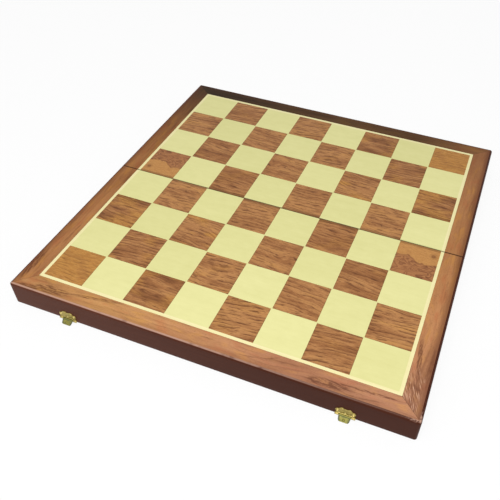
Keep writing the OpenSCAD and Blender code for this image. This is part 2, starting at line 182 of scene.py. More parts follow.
@dataclass(frozen=True)
class Signal:
    """A socket of a node tree that takes part in Python expressions."""

    pen: "Pen"
    socket: bpy.types.NodeSocket

    __add__ = __radd__ = operator("ADD", "Sum.")
    __sub__ = operator("SUBTRACT", "Difference.")
    __rsub__ = operator("SUBTRACT", "Difference the other way round.", swapped=True)
    __mul__ = __rmul__ = operator("MULTIPLY", "Product.")
    __truediv__ = operator("DIVIDE", "Quotient.")
    __pow__ = operator("POWER", "Power.")
    __abs__ = operator("ABSOLUTE", "Size without its sign.")
    floor = operator("FLOOR", "Whole number below.")
    fraction = operator("FRACT", "What is over the whole number below.")
    root = operator("SQRT", "Square root.")
    sign = operator("SIGN", "Minus one, zero or one.")
    at_most = operator("MINIMUM", "The smaller of two values.")
    at_least = operator("MAXIMUM", "The larger of two values.")

    def __neg__(self) -> "Signal":
        """Negative."""
        return self * -1.0

    def rise(self, low: float, high: float) -> "Signal":
        """Smooth step.

        Args:
            low: Value where it is 0.
            high: Value where it is 1, which may be the lower one.

        Returns:
            The step.
        """
        ends = (low, high, 0.0, 1.0) if high >= low else (high, low, 1.0, 0.0)
        settings = {"interpolation_type": "SMOOTHSTEP"}
        sockets = dict(enumerate((self, *ends)))
        return self.pen.out(self.pen.node("ShaderNodeMapRange", settings, sockets))

    def near(self, place: float, reach: float) -> "Signal":
        """Smooth hump: 1 where the value is at the place, 0 beyond the reach."""
        return abs(self - place).rise(reach, 0.0)


class Pen:
    """Writes the nodes of one tree."""

    def __init__(self, tree: bpy.types.NodeTree) -> None:
        """Starts on an emptied tree."""
        self.tree = tree
        tree.nodes.clear()

    def node(
        self,
        kind: str,
        settings: Mapping[str, Any] | None = None,
        sockets: Mapping[Any, Any] | None = None,
    ) -> bpy.types.Node:
        """Adds one node.

        Args:
            kind: The node's type.
            settings: Its properties, set first.
            sockets: Values or links of its inputs, by name or number.

        Returns:
            The node.
        """
        made = self.tree.nodes.new(kind)
        for name, value in (settings or {}).items():
            setattr(made, name, value)
        for key, value in (sockets or {}).items():
            if isinstance(value, Signal):
                value = value.socket
            if isinstance(value, bpy.types.NodeSocket):
                self.tree.links.new(value, made.inputs[key])
            else:
                made.inputs[key].default_value = value
        return made

    def out(self, node: bpy.types.Node, key: Any = 0) -> Signal:
        """Wraps one output of a node."""
        return Signal(self, node.outputs[key])

    def math(self, operation: str, *terms: Number) -> Signal:
        """Adds a Math node of the terms, in order."""
        settings = {"operation": operation}
        return self.out(self.node("ShaderNodeMath", settings, dict(enumerate(terms))))

    def three(self, kind: str, source: bpy.types.NodeSocket) -> tuple[Signal, Signal, Signal]:
        """The three parts of a vector or colour, by a separating node of the kind."""
        parts = self.node(kind, None, {0: source})
        return self.out(parts, 0), self.out(parts, 1), self.out(parts, 2)

    def place(self) -> tuple[Signal, Signal, Signal]:
        """The surface point's object coordinates, in millimetres.

        Returns:
            Its x, y and z.
        """
        source = self.node("ShaderNodeTexCoord").outputs["Object"]
        sockets = {0: source, "Scale": 1.0 / MM}
        scaled = self.node("ShaderNodeVectorMath", {"operation": "SCALE"}, sockets)
        return self.three("ShaderNodeSeparateXYZ", scaled.outputs[0])

    def point(self, x: Number, y: Number, z: Number) -> Signal:
        """Joins three numbers to a vector."""
        return self.out(self.node("ShaderNodeCombineXYZ", None, {0: x, 1: y, 2: z}))

    def noise(
        self,
        x: Number,
        y: Number,
        z: Number,
        detail: float = 2.0,
        rough: float = 0.5,
        twist: float = 0.0,
    ) -> Signal:
        """Soft noise, about 0.5 on the whole, with cells one unit wide.

        Args:
            x: Where it is read, across.
            y: Where it is read, along.
            z: Where it is read, up.
            detail: Number of finer layers.
            rough: Strength of the finer layers.
            twist: How far the noise distorts itself.

        Returns:
            The noise.
        """
        sockets = {"Vector": self.point(x, y, z), "Scale": 1.0, "Detail": detail}
        sockets.update({"Roughness": rough, "Distortion": twist})
        return self.out(self.node("ShaderNodeTexNoise", {"noise_dimensions": "3D"}, sockets))

    def fog(self, place: Sequence[Signal], size: float, **shape: float) -> Signal:
        """Noise of the same size every way, its cells so many millimetres wide."""
        return self.noise(*(part / size for part in place), **shape)

    def chance(self, x: Number, y: Number, z: Number) -> tuple[Signal, Signal, Signal]:
        """Three random numbers that belong to a point.

        Args:
            x: The point, across.
            y: The point, along.
            z: The point, up.

        Returns:
            The numbers, 0 to 1.
        """
        sockets = {"Vector": self.point(x, y, z)}
        node = self.node("ShaderNodeTexWhiteNoise", {"noise_dimensions": "3D"}, sockets)
        return self.three("ShaderNodeSeparateColor", node.outputs["Color"])

    def tufts(self, place: Sequence[Signal], size: float) -> Signal:
        """Distance to the nearest of scattered points, one to a cell.

        Args:
            place: Where it is read, in millimetres.
            size: Width of a cell, in millimetres.

        Returns:
            The distance, in cells.
        """
        point = self.point(*(part / size for part in place))
        sockets = {"Vector": point, "Scale": 1.0, "Randomness": 1.0}
        return self.out(self.node("ShaderNodeTexVoronoi", {"voronoi_dimensions": "3D"}, sockets))

    def mix(self, share: Number, first: Any, second: Any, blend: str = "MIX") -> Signal:
        """Mixes two colours.

        Args:
            share: Share of the second colour.
            first: A colour or a link.
            second: A colour or a link.
            blend: How the second lies over the first.

        Returns:
            The mixed colour.
        """
        settings = {"data_type": "RGBA", "blend_type": blend, "clamp_factor": True}
        return self.out(self.node("ShaderNodeMix", settings, {0: share, 6: first, 7: second}), 2)

    def tint(self, colour: Signal, by: Any) -> Signal:
        """A colour multiplied by another."""
        return self.mix(1.0, colour, by, "MULTIPLY")

    def ramp(self, value: Signal, stops: Sequence[tuple[float, Colour]]) -> Signal:
        """Colour read from a ramp.

        Args:
            value: Where it is read, 0 to 1.
            stops: Places and colours, from left to right.

        Returns:
            The colour.
        """
        node = self.node("ShaderNodeValToRGB", None, {0: value})
        elements = node.color_ramp.elements
        elements.remove(elements[-1])
        elements[0].position, elements[0].color = stops[0]
        for place, colour in stops[1:]:
            elements.new(place).color = colour
        return self.out(node)

    def bump(self, height: Signal, depth_mm: float, strength: float = 1.0) -> Signal:
        """Normal from a height of 0 to 1, which stands for the depth."""
        sockets = {"Strength": strength, "Distance": depth_mm * MM, "Height": height}
        return self.out(self.node("ShaderNodeBump", None, sockets))

    def surface(self, **inputs: Any) -> None:
        """Ends the tree in a Principled surface.

        Args:
            **inputs: Its sockets, with underscores for the blanks.
        """
        sockets = {name.replace("_", " "): value for name, value in inputs.items()}
        shader = self.node("ShaderNodeBsdfPrincipled", None, sockets)
        self.node("ShaderNodeOutputMaterial", None, {"Surface": shader.outputs[0]})


# ---------------------------------------------------------------- finishes


class Axis(Enum):
    """Direction of the grain."""

    X = "x"
    Y = "y"


class Finish(ABC):
    """A material that is made once and shared by the pieces that wear it."""

    name: str

    @abstractmethod
    def write(self, pen: Pen) -> None:
        """Writes the material's nodes."""

    def material(self) -> bpy.types.Material:
        """The material.

        Returns:
            The one of this name, made on first use.
        """
        made = bpy.data.materials.get(self.name)
        if made is None:
            made = bpy.data.materials.new(self.name)
            made.use_nodes = True
            self.write(Pen(made.node_tree))
        return made

    def dress(self, *pieces: bpy.types.Object) -> None:
        """Gives the pieces this finish alone."""
        for piece in pieces:
            piece.data.materials.clear()
            piece.data.materials.append(self.material())


@dataclass(frozen=True)
class Grain:
    """Wood figure read at one point: each part runs from 0 to 1, but for the bent place."""

    bands: Signal
    lines: Signal
    fibres: Signal
    pores: Signal
    bent: Signal

    def relief(self, fibres: float = 0.6, pores: float = 0.8) -> Signal:
        """Height of the fibres less the depth of the pores."""
        return self.fibres * fibres - self.pores * pores


def wood_grain(
    pen: Pen, along: Number, across: Number, seed: Number, wander: float, ring: float
) -> Grain:
    """Figure of a slice of wood.

    The place across the grain is first bent by slow noise. Bands are noise stretched along the
    grain. Lines are a saw tooth of the bent place, steep on one side as growth rings are. Fibres
    and pores are finer noise, stretched more.

    Args:
        pen: The tree.
        along: Place along the grain, in millimetres.
        across: Place across the grain, in millimetres.
        seed: Picks a different piece of wood.
        wander: How far the grain wanders sideways, in millimetres.
        ring: Width of a growth ring, in millimetres.

    Returns:
        The figure.
    """
    slow = pen.noise(along / 75.0, across / 26.0, seed, detail=1.0)
    quick = pen.noise(along / 17.0, across / 8.0, seed + 5.0)
    bent = across + (slow - 0.5) * wander + (quick - 0.5) * (wander * 0.22)
    bands = pen.noise(along / 60.0, bent / (2.2 * ring), seed + 9.0, detail=3.0, rough=0.6)
    saw = (bent / ring + bands * 1.5).fraction()
    lines = saw**3.0 * saw.rise(1.0, 0.93)
    fibres = pen.noise(along / 7.0, bent / 0.45, seed + 17.0, rough=0.65)
    pores = pen.noise(along / 2.6, bent / 0.28, seed + 29.0, detail=0.0).rise(0.63, 0.74)
    return Grain(bands, lines, fibres, pores, bent)


@dataclass(frozen=True)
class Lacquer:
    """Gloss of a lacquered wood."""

    rough: float
    fibre_rough: float
    specular: float = 0.12
    coat: float = 0.05
    coat_rough: float = 0.2

    def lay(
        self, pen: Pen, wood: Signal, grain: Grain, relief: Signal, depth: float, wear_and_highlight: Number = 0.0
    ) -> None:
        """Ends a tree in the lacquered wood.

        Args:
            pen: The tree.
            wood: Its colour.
            grain: Its figure.
            relief: Height of the surface, 0 to 1.
            depth: What that height stands for, in millimetres.
            wear: Added roughness.
        """
        pen.surface(
            Base_Color=wood,
            Roughness=self.rough + grain.fibres * self.fibre_rough + wear_and_highlight,
            Specular_IOR_Level=self.specular,
            Coat_Weight=self.coat,
            Coat_Roughness=self.coat_rough,
            Normal=pen.bump(relief, depth, 0.5),
        )


SEAM_LINE = (1.1, 0.4)
"""Distances from the seam where its dark line ends and where it is full, in millimetres."""


@dataclass(frozen=True)
class BrownSquares(Finish):
    """Figured brown squares: every square is its own leaf of veneer, and three stand out.

    Squares are counted from a corner of the board, and rows from the seam outwards.
    """

    name: str = "brown_square_veneer"
    shade: Colour = rgb(126, 80, 46)
    brown: Colour = rgb(161, 108, 65)
    pale: Colour = rgb(188, 134, 84)
    gold: Colour = rgb(198, 142, 80)
    line: Colour = rgb(92, 52, 30)
    gilt_square: tuple[int, int] = (0, 1)
    corner_square: tuple[int, int] = (0, 3)
    burl_square: tuple[int, int] = (7, 0)

    def write(self, pen: Pen) -> None:
        """Writes the nodes: a square's number picks its seed, slope, tone and gold.

        Args:
            pen: The tree.
        """
        x, y, _ = pen.place()
        u, v = x * -y.sign(), abs(y)
        column = (u / BOX.square + 4.0).floor()
        row = ((v - BOX.seam_row_extra) / BOX.square).floor().at_least(0.0)
        first, second, third = pen.chance(column + 3.5, row + 7.5, 2.5)
        local_u = u / BOX.square + 4.0 - column
        local_v = (v - BOX.seam_row_extra) / BOX.square - row
        seed = column * 3.7 + row * 11.3
        grain = wood_grain(pen, u, v + u * ((first - 0.5) * 0.3), seed, 15.0, 4.3)
        cloud = pen.noise(u / 26.0, v / 13.0, seed + 40.0, detail=1.0)
        squares = (self.gilt_square, self.burl_square, self.corner_square)
        gilt_cell, burl_cell, corner_cell = (
            column.near(float(over), 0.5) * row.near(float(up), 0.5) for over, up in squares
        )

        tone = grain.bands * 0.8 + grain.fibres * 0.55 + (second - 0.5) * 0.16 - 0.16
        stops = [(0.28, self.shade), (0.44, self.brown), (0.6, self.pale), (0.78, self.gold)]
        wood = pen.ramp(tone, stops)
        left = u.rise(150.0, -60.0) * 0.7 + 0.15
        gilt = cloud.rise(0.48, 0.7) * third * left + gilt_cell * cloud.rise(0.3, 0.6) * 0.7
        gilt = gilt + corner_cell * (0.6 + cloud.rise(0.3, 0.6) * 0.4)
        gold = pen.mix(grain.fibres.rise(0.3, 0.7), rgb(176, 118, 56), rgb(206, 152, 80))
        wood = pen.mix(gilt.at_most(0.9), wood, gold)
        patch = pen.noise(u / 13.0, v / 6.0, seed + 60.0, detail=1.0)
        fleck = pen.noise(u / 9.0, grain.bent / 1.1, seed + 50.0, rough=0.6)
        lines = grain.lines * patch.rise(0.36, 0.6) * (0.7 + first * 0.4)
        lines = lines + fleck.rise(0.54, 0.72) * (0.55 + second * 0.3)
        lines = lines + gilt_cell * grain.bands.rise(0.46, 0.3) * 0.6
        lines = lines * (1.0 - corner_cell * 0.4)
        wood = pen.mix((lines * (1.0 - burl_cell)).at_most(0.85), wood, self.line)

        wood = pen.mix(burl_cell, wood, self._burl(pen, (u, v), (local_u, local_v), grain))
        wood = pen.mix(grain.pores * 0.3, wood, rgb(86, 50, 30))
        inset = BOX.square_inset / BOX.square
        rim = local_u.at_most(1.0 - local_u).at_most(local_v.at_most(1.0 - local_v))
        joint = rim.rise(inset + 0.016, inset)
        wood = pen.mix(joint * 0.45, wood, rgb(96, 66, 34))
        Lacquer(0.4, 0.12).lay(pen, wood, grain, grain.relief() - joint, 0.02)

    @staticmethod
    def _burl(
        pen: Pen, place: tuple[Signal, Signal], local: tuple[Signal, Signal], grain: Grain
    ) -> Signal:
        """Colour of the burl square: gold beside the seam, brown swirls beyond a wavy border.

        Args:
            pen: The tree.
            place: Place along the seam and distance from it, in millimetres.
            local: The same in the square, 0 to 1.
            grain: The plain figure there.

        Returns:
            The colour.
        """
        (u, v), (local_u, local_v) = place, local
        swirl = pen.noise(u / 17.0, v / 9.0, 3.3, detail=1.0, rough=0.4, twist=1.2)
        ring = (swirl * 6.0 + grain.fibres * 0.2).fraction()
        whorl = ring.rise(0.4, 0.9) * ring.rise(1.0, 0.95) * (0.7 + local_u * 0.7)
        bend = pen.noise(u / 10.0, 0.0, 12.5, detail=1.0)
        brown = (local_v + (bend - 0.5) * 0.5 - local_u * 0.16).rise(0.34, 0.44)
        gold = pen.mix(grain.fibres.rise(0.3, 0.7), rgb(180, 124, 70), rgb(204, 150, 88))
        base = pen.mix(grain.fibres.rise(0.3, 0.75), rgb(160, 106, 66), rgb(182, 126, 80))
        wood = pen.mix(brown, gold, base)
        edge = brown.near(0.5, 0.5) * 0.4
        wood = pen.mix((brown * whorl * 0.7 + edge).at_most(0.85), wood, rgb(112, 66, 42))
        away = ((local_u - 0.84) ** 2.0 + (local_v - 0.2) ** 2.0).root()
        rings = (away * 16.0).fraction().near(0.5, 0.2) * away.rise(0.2, 0.08) * 0.3
        knot = away.rise(0.1, 0.02) * 0.7 + rings
        return pen.mix(knot.at_most(0.8), wood, rgb(128, 82, 46))


@dataclass(frozen=True)
class PaleVeneer(Finish):
    """Light squares and stringing: close pale wood, faintly clouded."""

    name: str = "pale_square_veneer"
    cloudy: Colour = rgb(219, 215, 146)
    clear: Colour = rgb(237, 233, 167)
    seam_darkening: float = 0.8

    def write(self, pen: Pen) -> None:
        """Writes the nodes: clouds, fine fibres and a dark line at the seam.

        Args:
            pen: The tree.
        """
        x, y, _ = pen.place()
        grain = wood_grain(pen, x, y, 4.0, 8.0, 6.0)
        column = (x / BOX.square + 4.0).floor()
        row = ((y - y.sign() * BOX.seam_row_extra) / BOX.square + 9.0).floor()
        chance, _, _ = pen.chance(column + 0.5, row + 0.5, 8.5)
        cloud = pen.noise(x / 11.0, y / 8.0, 70.0)
        tone = grain.bands * 0.3 + cloud * 0.25 + grain.fibres * 0.25 + chance * 0.2
        wood = pen.mix(tone.rise(0.1, 0.9), self.cloudy, self.clear)
        wood = pen.mix(grain.lines * 0.05, wood, rgb(196, 182, 110))
        # Darker along the seam.
        wood = pen.mix(abs(y).rise(*SEAM_LINE) * self.seam_darkening, wood, rgb(66, 46, 28))
        Lacquer(0.42, 0.1).lay(pen, wood, grain, grain.fibres, 0.012)


@dataclass(frozen=True)
class Mark:
    """A dark figure in the veneer: its middle, half length, half width, rise and strength."""

    along: float
    across: float
    length: float
    width: float
    rise: float
    strength: float

    def cover(self, along: Signal, across: Signal) -> Signal:
        """How strongly the mark covers a place.

        Args:
            along: Place along the strip, in millimetres.
            across: Place across it, in millimetres.

        Returns:
            The strength, 0 to 1.
        """
        far = along - self.along
        off = (across - self.across - far * self.rise) / self.width
        return ((far / self.length) ** 2.0 + off**2.0).rise(1.0, 0.1) * self.strength


@dataclass(frozen=True)
class BorderVeneer(Finish):
    """Border veneer with its grain along one side of the board.

    The tones are places along the strip, in millimetres, each with its colour as display values.
    """

    name: str
    axis: Axis
    seed: float
    tones_and_shade: tuple[tuple[float, float, float, float], ...]
    marks: tuple[Mark, ...] = ()
    streaks: float = 0.6
    curl: float = 0.0
    burn: float = 0.2
    half_strip: float = 200.0
    burn_w: float = 7.0

    def write(self, pen: Pen) -> None:
        """Writes the nodes: tones along the strip, bands, lines, marks, curl and joints.

        Args:
            pen: The tree.
        """
        x, y, _ = pen.place()
        along, across = (x, y) if self.axis is Axis.X else (y, x)
        grain = wood_grain(pen, along, across, self.seed, 14.0, 4.2)
        half = self.half_strip
        # Stops of wood tone; on the left, right and far strips they also carry painted shade,
        # darker towards the far edge.
        stops = [((place + half) / (2 * half), rgb(*shade)) for place, *shade in self.tones_and_shade]
        wander = pen.noise(along / 40.0, across / 7.0, self.seed + 1.0)
        tone = pen.ramp((along + half) / (2 * half) + (wander - 0.5) * 0.06, stops)
        level = (grain.bands * 0.65 + grain.fibres * 0.35).rise(0.3, 0.7)
        wood = pen.tint(tone, pen.mix(level, (0.74, 0.7, 0.66, 1.0), WHITE))
        dark = pen.tint(tone, (0.34, 0.28, 0.28, 1.0))
        hue = pen.noise(along / 24.0, grain.bent / 7.0, self.seed + 14.0)
        golden = pen.tint(tone, (1.04, 1.02, 0.72, 1.0))
        russet = pen.tint(tone, (0.9, 0.7, 0.66, 1.0))
        wood = pen.mix(hue.rise(0.5, 0.7) * 0.7, wood, golden)
        wood = pen.mix(hue.rise(0.48, 0.3) * 0.6, wood, russet)
        patch = pen.noise(along / 30.0, across / 8.0, self.seed + 3.0, detail=1.0)
        streak = (grain.lines * 0.8 + grain.bands.rise(0.42, 0.3) * 0.6) * patch.rise(0.4, 0.62)
        wood = pen.mix((streak * self.streaks).at_most(0.85), wood, dark)

        ripple = (along / 9.0, grain.bent / 1.3, self.seed + 6.0)
        figure = pen.noise(*ripple, detail=3.0, rough=0.62).rise(0.6, 0.4)
        cover: Number = 0.0
        for mark in self.marks:
            cover = mark.cover(along, across) + cover
        wood = pen.mix((cover * (0.2 + figure * 0.9)).at_most(0.9), wood, dark)
        if self.curl:
            lean = across + (along + BOX.half_d) * 0.4
            strand = pen.noise(along / 9.0, lean / 0.9, self.seed + 8.0)
            zone = along.rise(-140.0, -166.0) * across.rise(193.0, 187.0) * self.curl
            wood = pen.mix(zone * (strand.rise(0.54, 0.4) * 0.6 + 0.25), wood, dark)
            wood = pen.mix(zone * strand.rise(0.55, 0.66) * 0.6, wood, rgb(228, 186, 158))
        wood = pen.mix(grain.pores * 0.3, wood, rgb(84, 48, 30))
        burnt, line = self._edges(x, y, abs(across))
        wood = pen.mix(burnt, wood, rgb(88, 44, 32))
        wood = pen.mix(line, wood, rgb(58, 36, 26))
        gloss = Lacquer(0.38, 0.12, specular=0.06, coat=0.03, coat_rough=0.18)
        gloss.lay(pen, wood, grain, grain.relief() - line, 0.02)

    def _edges(self, x: Signal, y: Signal, off: Signal) -> tuple[Signal, Signal]:
        """The darkened outer edge, and the lines at the stringing, the mitres and the seam.

        Args:
            x: Place across the board.
            y: Place up the board.
            off: Distance of the place from the board's middle line along the strip.

        Returns:
            The strength of both, 0 to 1.
        """
        outer, inner = BOX.half_w, BOX.string_x
        if self.axis is Axis.X:
            outer, inner = BOX.half_d, BOX.string_y
        burnt = (off - (outer - BOX.lip_w)).rise(-self.burn_w, 0.0) * self.burn
        joint = (off - inner).rise(0.5, 0.0)
        lean = BOX.border_w / BOX.side_border_w
        mitre = abs((abs(x) - BOX.string_x) * lean - abs(y) + BOX.string_y).rise(0.4, 0.1)
        line = joint * 0.4 + mitre * 0.5 + abs(y).rise(*SEAM_LINE) * 0.8
        return burnt, line.at_most(0.85)


@dataclass(frozen=True)
class StainedRail(Finish):
    """Dark red-brown stain under satin lacquer, rubbed along the top edge and at a corner."""

    name: str
    axis: Axis
    stain: Colour = rgb(102, 57, 40)
    deep: Colour = rgb(88, 46, 31)
    painted_shade: Colour = rgb(64, 26, 11)
    lip_highlight: float = 0.0

    def write(self, pen: Pen) -> None:
        """Writes the nodes: quiet grain, a pale rubbed line beside the veneer, worn spots.

        Args:
            pen: The tree.
        """
        x, y, z = pen.place()
        along, across = (x, y) if self.axis is Axis.X else (y, x)
        seed = 2.0 if self.axis is Axis.X else 6.0
        grain = wood_grain(pen, along, z + across * 0.7, seed, 5.0, 2.6)
        tone = (grain.bands * 0.6 + grain.fibres * 0.4).rise(0.25, 0.75)
        wood = pen.mix(tone, self.deep, self.stain)
        # Painted shade: the rails grow darker towards +x, where less light falls on them.
        wood = pen.mix(x.rise(-190.0, 120.0) * 0.7, wood, self.painted_shade)
        wood = pen.mix(grain.lines * 0.25 + grain.pores * 0.3, wood, rgb(46, 26, 21))
        spots = pen.fog((x, y, z), 2.2, detail=3.0, rough=0.7)
        worn_and_glint_patches = pen.fog((x, y, z), 11.0)
        lip = z.rise(BOX.top_z - 1.5, BOX.top_z)
        corner = (x - BOX.half_w).rise(-14.0, -2.0) * (y + BOX.half_d).rise(14.0, 2.0)
        wear_and_highlight = lip * spots.rise(0.62, 0.72) * worn_and_glint_patches.rise(0.45, 0.65) * 0.35
        wear_and_highlight = wear_and_highlight + corner * lip * spots.rise(0.44, 0.54) * 0.85
        # Painted highlight: a pale line along the near top lip, fading towards +x.
        if self.lip_highlight:
            line = z.rise(BOX.top_z - 0.7, BOX.top_z - 0.3) * y.rise(-180.0, -194.0)
            wear_and_highlight = wear_and_highlight + line * worn_and_glint_patches.rise(0.1, 0.5) * x.rise(230.0, -60.0) * self.lip_highlight
        rim = z.rise(BOX.rim_z + 1.0, BOX.rim_z) * spots.rise(0.6, 0.7) * 0.3
        # Worn spots and the painted highlight line turn the wood pale.
        wood = pen.mix((wear_and_highlight + rim).at_most(0.85), wood, rgb(206, 164, 142))
        gloss = Lacquer(0.36, 0.1, specular=0.06, coat_rough=0.14)
        gloss.lay(pen, wood, grain, grain.relief(fibres=0.5) - wear_and_highlight, 0.03, wear_and_highlight * 0.3)


@dataclass(frozen=True)
class PlainBoard(Finish):
    """Edges and back of the thin panel board, of plies one millimetre thick."""

    name: str = "panel_board"

    def write(self, pen: Pen) -> None:
        """Writes the nodes: plies seen on the edges, plain grain on the faces.

        Args:
            pen: The tree.
        """
        x, y, z = pen.place()
        grain = wood_grain(pen, x, y, 12.0, 8.0, 6.0)
        wood = pen.mix(grain.bands.rise(0.3, 0.7), rgb(176, 142, 98), rgb(206, 176, 132))
        wood = pen.mix(z.fraction().rise(0.45, 0.55) * 0.25, wood, rgb(140, 106, 70))
        rough = 0.6 + grain.fibres * 0.1
        pen.surface(Base_Color=wood, Roughness=rough, Normal=pen.bump(grain.fibres, 0.03))


@dataclass(frozen=True)
class Felt(Finish):
    """Short dark green felt: matted fibres, soft clouds and a little sheen."""

    name: str = "lining_felt"

    def write(self, pen: Pen) -> None:
        """Writes the nodes: two layers of fibres over slow clouds.

        Args:
            pen: The tree.
        """
        place = pen.place()
        fuzz = pen.fog(place, 0.5, detail=3.0, rough=0.7, twist=0.6)
        tuft = pen.tufts(place, 1.3)
        cloud = pen.fog(place, 24.0)
        tone = (fuzz * 0.55 + cloud * 0.3 + tuft * 0.15).rise(0.25, 0.75)
        pen.surface(
            Base_Color=pen.mix(tone, rgb(16, 52, 34), rgb(38, 92, 62)),
            Roughness=0.92,
            Specular_IOR_Level=0.15,
            Sheen_Weight=0.35,
            Sheen_Roughness=0.5,
            Normal=pen.bump(fuzz * 0.7 + tuft * 0.3, 0.25, 0.8),
        )


@dataclass(frozen=True)
class Brass(Finish):
    """Sheet brass that has gone a little olive, brighter where it stands proud.

    A stamped piece carries its own "proud" attribute, 0 in the hollows and 1 on the raised work.
    """

    name: str
    bright: Colour = rgb(255, 250, 212)
    dull: Colour = rgb(168, 148, 60)
    stamped: bool = False
    polish: float = 0.3

    def write(self, pen: Pen) -> None:
        """Writes the nodes: tarnish by noise and by the hollows, fine scratches.

        Args:
            pen: The tree.
        """
        x, y, z = pen.place()
        clouds = pen.fog((x, y, z), 1.8, detail=3.0, rough=0.6)
        scratch = pen.noise(x / 0.9, y / 0.12, z / 0.12, detail=1.0)
        if self.stamped:
            # Painted highlight: the brass is brightened where proud is high; the hollows keep the
            # tarnish.
            source = pen.node("ShaderNodeAttribute", {"attribute_name": "proud"})
            highlight_and_tarnish = (pen.out(source, "Fac") * 0.85 + (clouds - 0.35) * 0.7).rise(0.1, 0.75)
        else:
            highlight_and_tarnish = clouds.rise(0.25, 0.7)
        pen.surface(
            Base_Color=pen.mix(highlight_and_tarnish, self.dull, self.bright),
            Metallic=1.0,
            Roughness=self.polish + 0.22 * (1.0 - highlight_and_tarnish) + scratch * 0.06,
            Normal=pen.bump(clouds * 0.6 + scratch * 0.4, 0.02, 0.4),
        )


STAMPED_BRASS = Brass("stamped_brass", stamped=True)
# Painted shade: the hasps wear a darker copy of the stamped brass.
SHADED_HASP_BRASS = Brass("shaded_hasp_brass", rgb(142, 135, 68), rgb(102, 104, 72), stamped=True, polish=0.42)
TURNED_BRASS = Brass("turned_brass", rgb(252, 236, 168), rgb(200, 180, 92), polish=0.22)
HINGE_BRASS = Brass("hinge_brass", rgb(208, 184, 104), rgb(140, 120, 58))


# ---------------------------------------------------------------- surfaces

Plane = np.ndarray
Pair = tuple[float, float]


def quads(rows: int, columns: int, wrap_rows: bool, wrap_columns: bool) -> np.ndarray:
    """Quads between the neighbours of a grid of points.

    Args:
        rows: Number of rows.
        columns: Number of columns.
        wrap_rows: Whether the last row joins the first.
        wrap_columns: Whether the last column joins the first.

    Returns:
        Corner numbers, four to a quad.
    """
    row = np.arange(rows if wrap_rows else rows - 1)
    column = np.arange(columns if wrap_columns else columns - 1)
    a, b = np.meshgrid(row, column, indexing="ij")
    c, d = (a + 1) % rows, (b + 1) % columns
    corners = [a * columns + b, c * columns + b, c * columns + d, a * columns + d]
    return np.stack(corners, -1).reshape(-1, 4)


def arc(centre: Pair, radius: float, start: float, end: float, count: int) -> np.ndarray:
    """Points on a circle's arc: centre plus radius times the cosine and sine of each angle.

    Args:
        centre: Its middle.
        radius: Its radius.
        start: First angle, in degrees.
        end: Last angle, in degrees.
        count: Number of points.

    Returns:
        The points, two numbers each.
    """
    angle = np.radians(np.linspace(start, end, count))
    return np.stack([centre[0] + radius * np.cos(angle), centre[1] + radius * np.sin(angle)], -1)


def turned(radius: Plane, count: int) -> tuple[Plane, Plane]:
    """Carries radii round an axis: each times the cosine and the sine of the turn, by rows."""
    turn = np.linspace(0, 2 * math.pi, count, endpoint=False)[:, None]
    return radius * np.cos(turn), radius * np.sin(turn)


@dataclass
class Skin:
    """Gathers grids of points, in millimetres, and makes one closed piece of them."""

    name: str
    points: list[np.ndarray] = field(default_factory=list)
    faces: list[Sequence[int]] = field(default_factory=list)
    proud: list[np.ndarray] = field(default_factory=list)

    def grid(
        self,
        points: np.ndarray,
        proud: np.ndarray | float = 0.5,
        wrap_rows: bool = False,
        wrap_columns: bool = False,
    ) -> None:
        """Adds a grid. Where its rows don't wrap, the first and last are closed by a face each.

        Args:
            points: Rows by columns by three.
            proud: How far each point stands out, 0 to 1, rows by columns or one for all.
            wrap_rows: Whether the last row joins the first.
            wrap_columns: Whether the last column joins the first.
        """
        rows, columns = points.shape[:2]
        start = sum(len(block) for block in self.points)
        self.points.append(points.reshape(-1, 3))
        self.proud.append(np.broadcast_to(proud, (rows, columns)).reshape(-1))
        self.faces.extend((start + quads(rows, columns, wrap_rows, wrap_columns)).tolist())
        if not wrap_rows:
            ring = start + np.arange(columns)
            self.faces += [ring.tolist(), (ring[::-1] + (rows - 1) * columns).tolist()]

    def piece(self, move: Matrix, sharp: float = 40.0) -> bpy.types.Object:
        """Makes the mesh: doubles merged, faces turned outwards, smooth but for sharp edges.

        Args:
            move: Placement of the points, in millimetres.
            sharp: Angle above which an edge stays sharp, in degrees.

        Returns:
            The piece, its object at the origin.
        """
        turn, shift = np.array(move.to_3x3()), np.array(move.to_translation())
        points = np.concatenate(self.points) @ turn.T + shift
        mesh = bpy.data.meshes.new(self.name)
        mesh.from_pydata((points * MM).tolist(), [], self.faces)
        layer = mesh.attributes.new("proud", "FLOAT", "POINT")
        layer.data.foreach_set("value", np.concatenate(self.proud).astype(np.float32))
        work = bmesh.new()
        work.from_mesh(mesh)
        bmesh.ops.remove_doubles(work, verts=work.verts, dist=0.002 * MM)
        bmesh.ops.dissolve_degenerate(work, dist=0.0005 * MM, edges=work.edges)
        bmesh.ops.recalc_face_normals(work, faces=work.faces)
        work.to_mesh(mesh)
        work.free()
        mesh.polygons.foreach_set("use_smooth", np.ones(len(mesh.polygons), bool))
        mesh.set_sharp_from_angle(angle=math.radians(sharp))
        mesh.update()
        made = bpy.data.objects.new(self.name, mesh)
        bpy.context.scene.collection.objects.link(made)
        return made


def fit(piece: bpy.types.Object, finish: Finish, node: str, body: str) -> None:
    """Dresses a piece and puts it in the place of a CAD node.

    Args:
        piece: The piece.
        finish: Its finish.
        node: The node it stands for.
        body: The body it moves with.
        slot: Its material slot.
    """
    finish.dress(piece)
    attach(piece, body)
    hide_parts(node)


# ---------------------------------------------------------------- the case

# RAIL_X paints the highlight line on the near rail's top lip.
RAIL_X = StainedRail("stained_rail_x", Axis.X, lip_highlight=0.75)
RAIL_Y = StainedRail("stained_rail_y", Axis.Y)
STRINGING = PaleVeneer("stringing_veneer", rgb(236, 226, 164), rgb(248, 239, 186), 0.6)
HALF_TURN = Matrix.Rotation(math.pi, 4, "Z")

